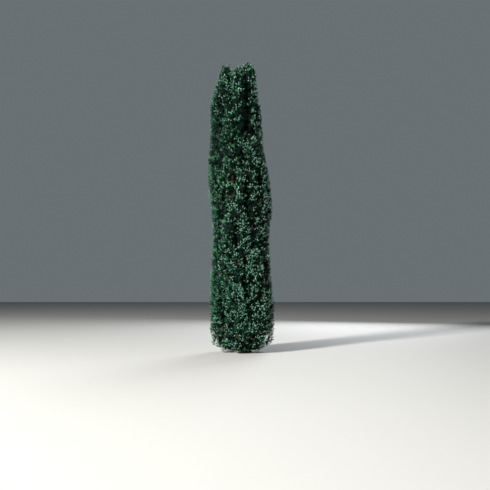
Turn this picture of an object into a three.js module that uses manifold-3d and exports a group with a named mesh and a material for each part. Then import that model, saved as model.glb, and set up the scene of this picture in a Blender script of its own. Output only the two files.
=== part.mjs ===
// A columnar yew: a short flared trunk forks into five upright leaders, side boughs rise close
// beside them, and every leader and bough ends in one narrow plume of dense foliage.
// Sizes are in millimetres. +Z is up, +X is the viewer's right, and the viewer stands at -Y.
// The origin is at the middle of the flat cut under the trunk. Bearings turn from +X towards +Y,
// so the front of the tree is at -90 degrees.

import * as THREE from "three";
import { mergeVertices } from "three/addons/utils/BufferGeometryUtils.js";
import Module from "manifold-3d";

const wasm = await Module();
wasm.setup();

// The crown

const HEIGHT = 7000;

// The crown's reach from the trunk's axis at each height: to the left, to the right.
const OUTLINE = [
  [0, 710, 710],
  [500, 770, 790],
  [1100, 780, 785],
  [1750, 765, 705],
  [2450, 720, 665],
  [2950, 715, 680],
  [3400, 750, 735],
  [4050, 825, 700],
  [4500, 850, 600],
  [4800, 805, 535],
  [5300, 780, 500],
  [5850, 790, 465],
  [6300, 710, 395],
  [HEIGHT, 430, 290],
];
const DEPTH_SHARE = 0.95; // the reach to the front and back, as a share of the mean side reach

// Four rings of side plumes, from the ground up. Each ring has its plumes' greatest length and
// lowest foot, how far the feet stand outside the ring of leaders, the slope at which a bough
// enters, the share of the length at which a plume is full, and each plume's bearing in degrees
// and the height of its tip.
const RINGS = [
  {
    name: "skirt",
    longest: 1900,
    lowestFoot: 140,
    outsideLeaders: 235,
    entrySlope: 1.1,
    fullAt: 0.15,
    plumes: [[-101, 1640], [-42, 1880], [18, 1500], [78, 1760], [138, 1560], [198, 1820]],
  },
  {
    name: "lower",
    longest: 2150,
    lowestFoot: 960,
    outsideLeaders: 130,
    entrySlope: 0.35,
    fullAt: 0.3,
    plumes: [[-120, 3270], [-56, 2460], [-6, 2900], [52, 3180], [112, 2660], [172, 2780]],
  },
  {
    name: "middle",
    longest: 2450,
    lowestFoot: 960,
    outsideLeaders: 130,
    entrySlope: 0.35,
    fullAt: 0.3,
    plumes: [[-96, 4340], [-40, 4640], [12, 4400], [72, 4560], [130, 4160], [188, 4640]],
  },
  {
    name: "upper",
    longest: 2450,
    lowestFoot: 960,
    outsideLeaders: 120,
    entrySlope: 0.35,
    fullAt: 0.3,
    plumes: [[-64, 5120], [-2, 6000], [58, 5560], [118, 5900], [178, 6230], [-122, 5720]],
  },
];
const SIDE_GIRTH = 340; // the most that a side plume's radius may be
const GIRTH_SHARE = 0.5; // its radius, as a share of the crown's reach halfway up it
const LEAST_RING_SHARE = 0.8; // how near the middle a side plume may come, as a share of its foot

// Each leader enters the foot of a crest plume, which has a tip and a widest radius of its own.
const CREST = { foot: 4560, fullAt: 0.3 };
const LEADERS = [
  { name: "left", enters: [-250, -15], tip: [-425, -30, 6960], girth: 285 },
  { name: "middle", enters: [-70, -195], tip: [-68, -175, 6885], girth: 255 },
  { name: "right", enters: [120, -135], tip: [135, -130, HEIGHT], girth: 215 },
  { name: "far_right", enters: [165, 95], tip: [255, 90, 6950], girth: 170 },
  { name: "back", enters: [-70, 235], tip: [-95, 230, 6820], girth: 270 },
];

// The shape that every plume shares.
const TIP_TAPER = 240; // the length over which a plume comes to its point
const FOOT_SHARE = 0.5; // its radius at the foot, as a share of the widest

// The skin swells and sinks round a plume in waves: each is a part of the whole swell, with its
// lobes, the climb for one radian, and the turn from one plume to the next.
const SKIN_SWELL = 0.06;
const SKIN_WAVES = [
  { part: 1, lobes: 3, climb: 170, turn: 2.1 },
  { part: 0.6, lobes: 5, climb: -95, turn: 1.3 },
];

// A dense core fills each plume inside its skin. All cores have their corners at the same heights.
const CORE = { share: 0.88, sides: 10, step: 220, belowTip: 110 };
const LEAST_CORE_STEP = 0.4; // the shortest step at a core's ends, as a share of a whole one

// The wood

const TRUNK = { fork: 620, radius: 132, forkRadius: 152, sides: 14, steps: 6, ringBunching: 1.4 };
const ROOT_FLARE = { depth: 78, height: 130, flutes: 7, fluteDepth: 0.45, shaftFluteDepth: 0.04 };
const TRUNK_LEAN = [-10, 6]; // how far the fork stands from above the ground cut
const LEADER = { ring: 92, rootRadius: 44, tipRadius: 22, sink: 60, spread: 1.2, sides: 8, steps: 6 };
const LEADER_BENDS = [920, 2300]; // the heights at which a leader's course is set between its ends
const BOUGH = { rootRadius: 21, tipRadius: 13, rise: 330, aboveFork: 30, sides: 5, steps: 3 };
const BOUGH_LAST_RUN = 0.35; // how much of a bough runs in the slope at which it enters its plume
const SKIRT_BOUGH_DROP = 30; // how far below the height of its tip a skirt bough leaves the trunk
const STEM = { show: 42, sides: 5, steps: 5, topRadius: 5, belowCore: 40 };
const STEM_STATIONS = [0.15, 0.4, 0.7, 1]; // where on a plume's axis its stem is set
const SEAT_GAP = 0.3; // limbs that touch are this far apart

// The twigs climb out of the stem, and each bears sprays of needles, thin toothed blades.
const TWIG = { rootRadius: 9, tipRadius: 4, spacing: 105, rise: 170, stray: 0.5 };
const TWIG_ENDS = { aboveFoot: 35, belowTip: 260, stemAboveFoot: 20 }; // where the twigs may grow
const TWIG_ROOM_SHARE = 0.85; // the free room that a twig needs, as a share of the skin's radius
const TWIG_BEYOND = { up: 90, out: 30 }; // how far a twig runs past the root of its sprays
const SPRAY = { length: 300, thickness: 13, sunk: 40, lean: 0.4, middle: 0.5 };
const SPRAY_SPREAD = { length: 0.2, lean: 0.4, roll: 1.6 }; // how much each differs by chance
const SIDE_SPRAY = { scale: 0.8, turn: 0.75, roll: 0.4 };
const SPRAY_SEED = 31;
// A spray's outline from its root, up one side to the tip and down the other: along and across.
const SPRAY_OUTLINE = [
  [0, 0],
  [0.5, 0.2],
  [0.55, 0.075],
  [0.8, 0.14],
  [0.83, 0.045],
  [1, 0],
  [0.67, -0.05],
  [0.62, -0.19],
];
// The lengths and directions tried for the sprays at a plume's tip, and how squarely they cross.
const TOP_SPRAY = { shares: [1, 0.85, 0.7, 0.55, 0.4], turns: 8, crossing: 0.7 };

// Clearances between neighbours

const SPACE_GAP = 11; // from a plume to the edge of its own space
const LIMB_GAP = 14; // from foliage to any limb
const OUTLINE_GIVE = 30; // how far a spray may stand outside the outline
const LOWEST = 12; // foliage stays this far above the ground
const CLAIM_BEYOND = 15; // how far past its foot and tip a plume still keeps its space
const LEAST_CLAIM = 60; // the least radius that counts when neighbours share space
const MARCH = 8; // the step in which free room is measured
const LIMB_LENGTHS = 12; // how many straight lengths stand for a limb when it is measured

const GOLDEN_TURN = Math.PI * (3 - Math.sqrt(5));
const UP = new THREE.Vector3(0, 0, 1);

const { lerp: mix, clamp, degToRad, smoothstep } = THREE.MathUtils;

// A repeatable number from 0 to 1 for each pair of whole numbers.
function chance(a, b) {
  const spread = Math.sin(a * 12.9898 + b * 78.233) * 43758.5453;
  return spread - Math.floor(spread);
}

// A factor round 1 that differs from it by at most half the spread, as a pick from 0 to 1 says.
function varied(spread, pick) {
  return 1 + spread * (pick - 0.5);
}

// The crown's outline

function reachAt(z, bearing) {
  const above = Math.max(1, OUTLINE.findIndex(([height]) => height >= z));
  const [low, lowLeft, lowRight] = OUTLINE[above - 1];
  const [high, highLeft, highRight] = OUTLINE[above];
  const share = clamp((z - low) / (high - low), 0, 1);
  const left = mix(lowLeft, highLeft, share);
  const right = mix(lowRight, highRight, share);
  const sideways = Math.cos(bearing) ** 2;
  const side = Math.cos(bearing) < 0 ? left : right;
  return side * sideways + ((DEPTH_SHARE * (left + right)) / 2) * (1 - sideways);
}

// Leaders: each stands a little further out the higher it is

function leaderClimb(z) {
  return clamp((z - TRUNK.fork) / (CREST.foot - STEM.show - TRUNK.fork), 0, 1);
}

function leaderRing(z, endRing) {
  return mix(LEADER.ring, endRing, leaderClimb(z) ** LEADER.spread);
}

function leaderCurve(leader) {
  const enters = new THREE.Vector2(...leader.enters);
  const out = enters.clone().normalize();
  const heights = [TRUNK.fork - LEADER.sink, ...LEADER_BENDS, CREST.foot - STEM.show];
  const points = heights.map((z) => {
    const ring = leaderRing(z, enters.length());
    const lean = 1 - leaderClimb(z);
    return new THREE.Vector3(out.x * ring + TRUNK_LEAN[0] * lean, out.y * ring + TRUNK_LEAN[1] * lean, z);
  });
  return new THREE.CatmullRomCurve3(points);
}

// Plumes: each has a foot and a tip height, and a radius and an axis at each height between

function plumeRadius(plume, z) {
  const below = Math.max(0, plume.tip - z);
  const above = (z - plume.foot) / (plume.tip - plume.foot);
  const footShare = mix(FOOT_SHARE, 1, smoothstep(above, 0, plume.fullAt));
  return plume.girth * footShare * (1 - Math.exp(-below / TIP_TAPER));
}

// A side plume leans out from its foot until its outer side follows the crown's outline.
function sidePlume(ring, number, index) {
  const [bearingDegrees, tip] = ring.plumes[number];
  const bearing = degToRad(bearingDegrees);
  const foot = Math.max(tip - ring.longest, ring.lowestFoot);
  const girth = Math.min(SIDE_GIRTH, GIRTH_SHARE * reachAt(mix(foot, tip, 0.5), bearing));
  const name = ring.name + "_" + (number + 1);
  const { fullAt, entrySlope } = ring;
  const plume = { name, index, foot, tip, girth, bearing, fullAt, entrySlope };
  const outermost = new THREE.Vector2(...LEADERS[0].enters).length();
  const footRing = leaderRing(foot, outermost) + ring.outsideLeaders;
  plume.axis = (z) => {
    const outside = reachAt(z, bearing) - plumeRadius(plume, z);
    const climbed = smoothstep((z - foot) / (tip - foot), 0, fullAt);
    const out = Math.max(LEAST_RING_SHARE * footRing, mix(footRing, outside, climbed));
    return new THREE.Vector2(Math.cos(bearing) * out, Math.sin(bearing) * out);
  };
  return plume;
}

function crestPlume(leader, index) {
  const [tipX, tipY, tip] = leader.tip;
  const start = new THREE.Vector2(...leader.enters);
  const end = new THREE.Vector2(tipX, tipY);
  const plume = { name: "crest_" + leader.name, index, tip, girth: leader.girth, ...CREST };
  plume.bearing = end.angle();
  plume.axis = (z) => {
    const climbed = clamp((z - plume.foot) / (tip - plume.foot), 0, 1);
    return start.clone().lerp(end, climbed);
  };
  return plume;
}

function skinRadius(plume, z, bearing) {
  const waves = SKIN_WAVES.map(
    ({ part, lobes, climb, turn }) => part * Math.sin(lobes * bearing + z / climb + turn * plume.index),
  );
  return plumeRadius(plume, z) * (1 + SKIN_SWELL * (waves[0] + waves[1]));
}

// Solids

// A closed unit shape with its seams and caps joined, ready to be moved vertex by vertex.
function blank(geometry) {
  geometry.deleteAttribute("normal");
  geometry.deleteAttribute("uv");
  return mergeVertices(geometry);
}

// The blank with each vertex moved to where place puts it, as a solid.
function moved(geometry, place) {
  const made = geometry.clone();
  const position = made.attributes.position;
  const vertex = new THREE.Vector3();
  for (let i = 0; i < position.count; i++) {
    vertex.fromBufferAttribute(position, i);
    const { x, y, z } = place(vertex);
    position.setXYZ(i, x, y, z);
  }
  const vertProperties = new Float32Array(position.array);
  const triVerts = new Uint32Array(made.index.array);
  return new wasm.Manifold(new wasm.Mesh({ numProp: 3, vertProperties, triVerts }));
}

// A tapering limb along a curve. The unit cylinder's own height runs along the curve.
function limb(curve, { rootRadius, tipRadius, sides, steps }, extra = 0) {
  const cylinder = blank(new THREE.CylinderGeometry(1, 1, 1, sides, steps));
  return moved(cylinder, (vertex) => {
    const share = vertex.y + 0.5;
    const along = curve.getTangent(share);
    const across = new THREE.Vector3(1, 0, 0).projectOnPlane(along).normalize();
    const beside = across.clone().cross(along);
    const radius = mix(rootRadius, tipRadius, share) + extra;
    return curve
      .getPoint(share)
      .addScaledVector(across, radius * vertex.x)
      .addScaledVector(beside, radius * vertex.z);
  });
}

// The trunk flares into root buttresses at the ground and widens again under the fork. Its rings
// of corners are closer together near the ground.
function trunkSolid(extra = 0) {
  const cylinder = blank(new THREE.CylinderGeometry(1, 1, 1, TRUNK.sides, TRUNK.steps));
  return moved(cylinder, (vertex) => {
    const share = (vertex.y + 0.5) ** TRUNK.ringBunching;
    const z = share * TRUNK.fork;
    const flute = Math.cos(ROOT_FLARE.flutes * Math.atan2(-vertex.z, vertex.x));
    const flare = ROOT_FLARE.depth * Math.exp(-z / ROOT_FLARE.height) * (1 + ROOT_FLARE.fluteDepth * flute);
    const shaft = mix(TRUNK.radius, TRUNK.forkRadius, share) * (1 + ROOT_FLARE.shaftFluteDepth * flute);
    const radius = shaft + flare + extra;
    return new THREE.Vector3(
      TRUNK_LEAN[0] * share + radius * vertex.x,
      TRUNK_LEAN[1] * share - radius * vertex.z,
      z + (share === 1 ? extra : 0),
    );
  });
}

function leaderSolid(curve, extra = 0) {
  return limb(curve, LEADER, extra);
}

// A side bough starts on its parent's axis, is cut clear of the parent's bark, and climbs to its
// plume, which it enters in the plume's own slope.
function boughCurve(plume, start) {
  const foot = plume.axis(plume.foot);
  const end = new THREE.Vector3(foot.x, foot.y, plume.foot - STEM.show);
  const along = new THREE.Vector3(foot.x, foot.y, 0).setLength(plume.entrySlope).add(UP).normalize();
  const bend = end.clone().addScaledVector(along, -BOUGH_LAST_RUN * end.distanceTo(start));
  return new THREE.QuadraticBezierCurve3(start, bend, end);
}

// The parent of a side bough: the trunk for the skirt, and else the leader nearest to its foot.
function parentOf(plume) {
  if (plume.foot < TRUNK.fork) {
    const share = (plume.foot - STEM.show - SKIRT_BOUGH_DROP) / TRUNK.fork;
    const start = new THREE.Vector3(...TRUNK_LEAN, TRUNK.fork).multiplyScalar(share);
    return { start, solid: trunkSolid(SEAT_GAP) };
  }
  const startZ = Math.max(plume.foot - BOUGH.rise, TRUNK.fork + BOUGH.aboveFork);
  const bottom = TRUNK.fork - LEADER.sink;
  const share = clamp((startZ - bottom) / (CREST.foot - STEM.show - bottom), 0, 1);
  const foot = plume.axis(plume.foot);
  const starts = leaderCurves.map((curve) => ({ curve, start: curve.getPointAt(share) }));
  const apart = ({ start }) => Math.hypot(start.x - foot.x, start.y - foot.y);
  const nearest = starts.reduce((best, each) => (apart(each) < apart(best) ? each : best));
  return { start: nearest.start, solid: leaderSolid(nearest.curve, SEAT_GAP) };
}

// Where and in which direction a limb ends under its plume, for the plume's stem to go on from.
function endOf(curve) {
  return { point: curve.getPoint(1), along: curve.getTangent(1) };
}

// Free space

// Neighbouring plumes share the space between their axes in proportion to their radii. This is
// how far a point is on the plume's own side of the border with another plume.
function insideBorder(plume, other, point) {
  if (point.z < other.foot - CLAIM_BEYOND || point.z > other.tip + CLAIM_BEYOND) return Infinity;
  const [own, theirs] = [plume, other].map((each) => {
    const axis = each.axis(point.z);
    const radius = Math.max(LEAST_CLAIM, plumeRadius(each, point.z));
    return { away: Math.hypot(point.x - axis.x, point.y - axis.y), radius };
  });
  return (theirs.away * own.radius - own.away * theirs.radius) / (own.radius + theirs.radius);
}

function distanceToLimb(lengths, point) {
  let nearest = Infinity;
  const closest = new THREE.Vector3();
  for (const { segment, radius } of lengths) {
    segment.closestPointToPoint(point, true, closest);
    nearest = Math.min(nearest, closest.distanceTo(point) - radius);
  }
  return nearest;
}

// A limb as short straight lengths, for measuring.
function lengthsOf(curve, { rootRadius, tipRadius }) {
  const points = curve.getPoints(LIMB_LENGTHS);
  return points.slice(1).map((end, i) => ({
    segment: new THREE.Line3(points[i], end),
    radius: mix(rootRadius, tipRadius, i / LIMB_LENGTHS),
  }));
}

// Whether a point is in the plume's own space, inside the crown's outline and clear of every limb.
function isFree(plume, point) {
  if (point.z < LOWEST || point.z > HEIGHT) return false;
  const reach = reachAt(point.z, Math.atan2(point.y, point.x));
  if (Math.hypot(point.x, point.y) > reach + OUTLINE_GIVE) return false;
  const crowded = plumes.some(
    (other) => other !== plume && insideBorder(plume, other, point) < SPACE_GAP,
  );
  return !crowded && limbs.every((lengths) => distanceToLimb(lengths, point) > LIMB_GAP);
}

// The free distance from a plume's axis in one direction, up to its skin.
function room(plume, z, bearing) {
  const axis = plume.axis(z);
  const skin = skinRadius(plume, z, bearing);
  const point = new THREE.Vector3();
  for (let out = MARCH; out < skin; out += MARCH) {
    point.set(axis.x + out * Math.cos(bearing), axis.y + out * Math.sin(bearing), z);
    if (!isFree(plume, point)) return out - MARCH;
  }
  return skin;
}

// The least free distance near a core's corner: up to a third of a step below and above it, and a
// quarter of a side to each side.
function cornerRoom(plume, z, bearing) {
  const partStep = CORE.step / 3;
  const partSide = (2 * Math.PI) / CORE.sides / 4;
  const rooms = [-1, 0, 1].flatMap((up) =>
    [-1, 0, 1].map((aside) => room(plume, z + up * partStep, bearing + aside * partSide)),
  );
  return Math.min(...rooms);
}

// Foliage

function coreHeights(plume) {
  const shortest = LEAST_CORE_STEP * CORE.step;
  const first = Math.ceil((plume.foot + shortest) / CORE.step) * CORE.step;
  const top = plume.tip - CORE.belowTip;
  const heights = [plume.foot];
  for (let z = first; z < top - shortest; z += CORE.step) heights.push(z);
  return [...heights, top];
}

function coreSolid(plume) {
  const heights = coreHeights(plume);
  const steps = heights.length - 1;
  const cylinder = blank(new THREE.CylinderGeometry(1, 1, 1, CORE.sides, steps));
  return moved(cylinder, (vertex) => {
    const z = heights[Math.round((vertex.y + 0.5) * steps)];
    const axis = plume.axis(z);
    const isCapMiddle = Math.hypot(vertex.x, vertex.z) < 0.5;
    if (isCapMiddle) return new THREE.Vector3(axis.x, axis.y, z);
    const bearing = Math.atan2(-vertex.z, vertex.x) + plume.bearing;
    const inSkin = CORE.share * skinRadius(plume, z, bearing);
    const radius = Math.max(MARCH, Math.min(inSkin, cornerRoom(plume, z, bearing)));
    return new THREE.Vector3(axis.x + radius * Math.cos(bearing), axis.y + radius * Math.sin(bearing), z);
  });
}

// A plume's stem goes straight on from its limb, then up the plume's axis.
function stemCurve(plume) {
  const { point, along } = plume.limbEnd;
  const [start, inside] = [SEAT_GAP, STEM.show].map((far) => point.clone().addScaledVector(along, far));
  const top = plume.tip - CORE.belowTip - STEM.belowCore;
  const onAxis = STEM_STATIONS.map((share) => {
    const z = mix(plume.foot, top, share);
    const axis = plume.axis(z);
    return new THREE.Vector3(axis.x, axis.y, z);
  });
  const path = new THREE.CurvePath();
  path.add(new THREE.LineCurve3(start, inside));
  path.add(new THREE.CatmullRomCurve3([inside, ...onAxis], false, "centripetal"));
  return path;
}

// The corners of one spray: its outline, then the middles of its two faces.
function sprayCorners(root, along, facing, length) {
  const across = along.clone().cross(facing).normalize();
  const out = across.clone().cross(along).normalize();
  const at = (share, aside) =>
    root.clone().addScaledVector(along, share * length).addScaledVector(across, aside * length);
  const half = SPRAY.thickness / 2;
  return {
    rim: SPRAY_OUTLINE.map(([share, aside]) => at(share, aside)),
    front: at(SPRAY.middle, 0).addScaledVector(out, half),
    back: at(SPRAY.middle, 0).addScaledVector(out, -half),
  };
}

// A sphere of two steps is a rim with a pole on each side, which are moved to the spray's corners.
function spraySolid({ rim, front, back }) {
  const sphere = blank(new THREE.SphereGeometry(1, rim.length, 2));
  return moved(sphere, (vertex) => {
    if (vertex.y > 0.5) return front;
    if (vertex.y < -0.5) return back;
    const turn = Math.atan2(vertex.z, -vertex.x) / (2 * Math.PI);
    return rim[Math.round((turn + 1) * rim.length) % rim.length];
  });
}

function isSprayFree(plume, { rim, front, back }) {
  return [...rim.slice(1), front, back].every((corner) => isFree(plume, corner));
}

// One twig with its sprays, or nothing where it would leave the plume's space.
function twigSolids(plume, number) {
  const z = plume.foot + TWIG_ENDS.aboveFoot + number * TWIG.spacing;
  const stray = TWIG.stray * (chance(plume.index, number) - 0.5);
  const bearing = number * GOLDEN_TURN + plume.index + stray;
  const out = new THREE.Vector3(Math.cos(bearing), Math.sin(bearing), 0);
  const axis = plume.axis(z);
  const skin = skinRadius(plume, z, bearing);
  if (room(plume, z, bearing) < TWIG_ROOM_SHARE * skin) return [];
  const root = new THREE.Vector3(axis.x, axis.y, z).addScaledVector(out, CORE.share * skin - SPRAY.sunk);
  const sprays = [];
  const side = number % 2 ? 1 : -1;
  for (const [aside, scale] of [[0, 1], [side, SIDE_SPRAY.scale]]) {
    const pick = chance(plume.index + SPRAY_SEED, 3 * number + aside);
    const heading = out.clone().applyAxisAngle(UP, aside * SIDE_SPRAY.turn);
    const lean = SPRAY.lean * varied(SPRAY_SPREAD.lean, pick);
    const along = UP.clone().addScaledVector(heading, lean).normalize();
    const roll = SPRAY_SPREAD.roll * (pick - 0.5) + SIDE_SPRAY.roll * aside;
    const facing = out.clone().applyAxisAngle(along, roll);
    const length = SPRAY.length * scale * varied(SPRAY_SPREAD.length, pick);
    const corners = sprayCorners(root, along, facing, length);
    if (isSprayFree(plume, corners)) sprays.push(spraySolid(corners));
  }
  if (!sprays.length) return [];
  const stemZ = Math.max(z - TWIG.rise, plume.foot + TWIG_ENDS.stemAboveFoot);
  const onAxis = plume.axis(stemZ);
  const start = new THREE.Vector3(onAxis.x, onAxis.y, stemZ);
  const end = root.clone().addScaledVector(UP, TWIG_BEYOND.up).addScaledVector(out, TWIG_BEYOND.out);
  const twig = new THREE.QuadraticBezierCurve3(start, root, end);
  return [limb(twig, { ...TWIG, sides: 3, steps: 2 }), ...sprays];
}

// Two crossed sprays stand on the top of a plume's stem and reach its tip. Each is the longest
// that is free, and the second is turned away from the first.
function topSprays(plume) {
  const sprays = [];
  let first = null;
  for (const share of TOP_SPRAY.shares) {
    const length = share * SPRAY.length;
    const axis = plume.axis(plume.tip - length);
    const root = new THREE.Vector3(axis.x, axis.y, plume.tip - length);
    for (let turn = 0; turn < TOP_SPRAY.turns && sprays.length < 2; turn++) {
      const bearing = plume.index + (turn * Math.PI) / TOP_SPRAY.turns;
      if (first !== null && Math.abs(Math.sin(bearing - first)) < TOP_SPRAY.crossing) continue;
      const facing = new THREE.Vector3(Math.cos(bearing), Math.sin(bearing), 0);
      const corners = sprayCorners(root, UP, facing, length);
      if (!isSprayFree(plume, corners)) continue;
      sprays.push(spraySolid(corners));
      first ??= bearing;
    }
  }
  return sprays;
}

// Everything in a plume fused into one body, without loose scraps.
function plumeSolid(plume) {
  const stem = limb(stemCurve(plume), { ...STEM, rootRadius: plume.stemRadius, tipRadius: STEM.topRadius });
  const parts = [coreSolid(plume), stem, ...topSprays(plume)];
  const twigs = (plume.tip - TWIG_ENDS.belowTip - plume.foot) / TWIG.spacing;
  for (let number = 0; number < twigs; number++) parts.push(...twigSolids(plume, number));
  const bodies = wasm.Manifold.union(parts).decompose();
  return bodies.reduce((best, body) => (body.volume() > best.volume() ? body : best));
}

// The tree

const crests = LEADERS.map(crestPlume);
const places = RINGS.flatMap((ring) => ring.plumes.map((_, number) => [ring, number]));
const sides = places.map(([ring, number], i) => sidePlume(ring, number, crests.length + i));
const plumes = [...crests, ...sides];
const leaderCurves = LEADERS.map(leaderCurve);

const bark = new THREE.MeshStandardMaterial({ color: 0x6d4a38, roughness: 0.92, metalness: 0 });
const needles = new THREE.MeshStandardMaterial({ color: 0x24402c, roughness: 0.6, metalness: 0 });

function meshOf(name, solid, material) {
  const { numProp, vertProperties, triVerts } = solid.getMesh();
  const geometry = new THREE.BufferGeometry();
  geometry.setAttribute("position", new THREE.BufferAttribute(vertProperties, numProp));
  geometry.setIndex(new THREE.BufferAttribute(triVerts, 1));
  geometry.computeVertexNormals();
  const mesh = new THREE.Mesh(geometry, material);
  mesh.name = name;
  return mesh;
}

const tree = new THREE.Group();
const limbs = [];
tree.add(meshOf("trunk", trunkSolid(), bark));
const trunkAxis = new THREE.LineCurve3(new THREE.Vector3(), new THREE.Vector3(...TRUNK_LEAN, TRUNK.fork));
const trunkSize = { rootRadius: TRUNK.radius + ROOT_FLARE.depth, tipRadius: TRUNK.forkRadius };
limbs.push(lengthsOf(trunkAxis, trunkSize));

LEADERS.forEach((leader, i) => {
  const solid = leaderSolid(leaderCurves[i]).subtract(trunkSolid(SEAT_GAP));
  tree.add(meshOf("leader_" + leader.name, solid, bark));
  limbs.push(lengthsOf(leaderCurves[i], LEADER));
  crests[i].stemRadius = LEADER.tipRadius;
  crests[i].limbEnd = endOf(leaderCurves[i]);
});

for (const plume of sides) {
  const parent = parentOf(plume);
  const curve = boughCurve(plume, parent.start);
  tree.add(meshOf("bough_" + plume.name, limb(curve, BOUGH).subtract(parent.solid), bark));
  limbs.push(lengthsOf(curve, BOUGH));
  plume.stemRadius = BOUGH.tipRadius;
  plume.limbEnd = endOf(curve);
}

for (const plume of plumes) tree.add(meshOf("foliage_" + plume.name, plumeSolid(plume), needles));

export default tree;
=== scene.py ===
"""The looks of a columnar yew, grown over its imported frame.

Bark with relief takes the place of the trunk, leaders and boughs. Every plume of foliage is grown
again by the rule of the solids and carried on to finer twigs, branchlets, shoots and needles.
Sizes are in millimetres until a piece is put into the scene, which is in metres. +Z is up, +X is the
viewer's right and the viewer stands at -Y. Bearings turn from +X towards +Y.
"""

import math

import bpy
import numpy as np
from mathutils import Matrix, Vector


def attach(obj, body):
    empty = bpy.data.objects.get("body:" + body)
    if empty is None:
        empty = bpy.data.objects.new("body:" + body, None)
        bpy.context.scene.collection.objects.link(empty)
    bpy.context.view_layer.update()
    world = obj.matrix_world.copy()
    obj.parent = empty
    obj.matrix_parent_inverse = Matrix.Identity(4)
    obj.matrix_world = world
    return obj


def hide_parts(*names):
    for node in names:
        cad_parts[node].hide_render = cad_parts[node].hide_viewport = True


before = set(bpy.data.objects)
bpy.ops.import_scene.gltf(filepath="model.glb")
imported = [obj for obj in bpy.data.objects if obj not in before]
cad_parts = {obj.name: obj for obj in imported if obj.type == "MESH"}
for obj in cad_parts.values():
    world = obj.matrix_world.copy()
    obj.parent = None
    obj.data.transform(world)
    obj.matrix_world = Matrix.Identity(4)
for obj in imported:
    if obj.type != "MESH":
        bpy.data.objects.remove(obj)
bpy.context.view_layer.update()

MM = 0.001
GOLDEN_TURN = math.pi * (3 - math.sqrt(5))
UP = np.array([0.0, 0.0, 1.0])
MOST_TRIANGLES = 190_000  # in one piece

# The crown, with the same named sizes as the solids

HEIGHT = 7000
# The reach from the trunk's axis: height, to the left, to the right
OUTLINE = np.array(
    [
        (0, 710, 710), (500, 770, 790), (1100, 780, 785), (1750, 765, 705), (2450, 720, 665),
        (2950, 715, 680), (3400, 750, 735), (4050, 825, 700), (4500, 850, 600), (4800, 805, 535),
        (5300, 780, 500), (5850, 790, 465), (6300, 710, 395), (HEIGHT, 430, 290),
    ],
    dtype=float,
)
DEPTH_SHARE = 0.95
OUTLINE_GIVE = 30

# Each ring of side plumes: name, greatest length, lowest foot, how far the feet stand outside the
# leaders, the slope at which a bough enters, the share of the length at which a plume is full, and
# each plume's bearing in degrees with the height of its tip
RINGS = [
    ("skirt", 1900, 140, 235, 1.1, 0.15,
     [(-101, 1640), (-42, 1880), (18, 1500), (78, 1760), (138, 1560), (198, 1820)]),
    ("lower", 2150, 960, 130, 0.35, 0.3,
     [(-120, 3270), (-56, 2460), (-6, 2900), (52, 3180), (112, 2660), (172, 2780)]),
    ("middle", 2450, 960, 130, 0.35, 0.3,
     [(-96, 4340), (-40, 4640), (12, 4400), (72, 4560), (130, 4160), (188, 4640)]),
    ("upper", 2450, 960, 120, 0.35, 0.3,
     [(-64, 5120), (-2, 6000), (58, 5560), (118, 5900), (178, 6230), (-122, 5720)]),
]
SIDE_GIRTH = 340
GIRTH_SHARE = 0.5
LEAST_RING_SHARE = 0.8

# Each leader: name, where it enters its crest plume, that plume's tip and its widest radius
CREST_FOOT = 4560
CREST_FULL_AT = 0.3
LEADERS = [
    ("left", (-250, -15), (-425, -30, 6960), 285),
    ("middle", (-70, -195), (-68, -175, 6885), 255),
    ("right", (120, -135), (135, -130, HEIGHT), 215),
    ("far_right", (165, 95), (255, 90, 6950), 170),
    ("back", (-70, 235), (-95, 230, 6820), 270),
]

TIP_TAPER = 240
FOOT_SHARE = 0.5
SKIN_SWELL = 0.06
# Waves on a plume's skin: part of the swell, lobes, climb for a radian, turn from plume to plume
SKIN_WAVES = [(1.0, 3, 170, 2.1), (0.6, 5, -95, 1.3)]
SPACE_GAP = 11
CLAIM_BEYOND = 15
TIP_GIVEN_UP = 160  # neighbours close in over a plume from this far below its tip
LEAST_CLAIM = 60
MARCH = 8
MARCH_END = 1.2 * SIDE_GIRTH

# The wood

TRUNK_FORK = 620
TRUNK_RADIUS = 132
FORK_RADIUS = 152
TRUNK_LEAN = np.array([-10.0, 6.0])
RING_BUNCHING = 1.4
FLARE_DEPTH = 78
FLARE_HEIGHT = 130
FLUTES = 7
FLARE_FLUTE_DEPTH = 0.45
SHAFT_FLUTE_DEPTH = 0.04
# The swelling under each leader: its share of the radius, its height under the fork, its half turn
# and the height of its bell in those shares. All round, the trunk is first drawn in by one of them.
FORK_LOBE = 0.06
FORK_LOBE_RUN = 260
FORK_LOBE_HALF_TURN = 0.42
FORK_LOBE_PEAK = 1.6
FORK_RISE = 100  # the height of the low dome that closes the trunk above its fork
DOME_TIP_RADIUS = 0.5
TRUNK_COLUMNS, TRUNK_ROWS, DOME_ROWS = 176, 96, 9
LEADER_RING = 92
LEADER_ROOT_RADIUS = 44
LEADER_TIP_RADIUS = 22
LEADER_FLARE = 20
LEADER_FLARE_RUN = 90
LEADER_SINK = 60
LEADER_SPREAD = 1.2
BOUGH_ROOT_RADIUS = 21
BOUGH_TIP_RADIUS = 13
BOUGH_SWELL = 7  # at its root, and how fast that dies away along it
BOUGH_SWELL_RATE = 9
BOUGH_RISE = 330
BOUGH_ABOVE_FORK = 30
BOUGH_LAST_RUN = 0.35
SKIRT_BOUGH_DROP = 30
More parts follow.
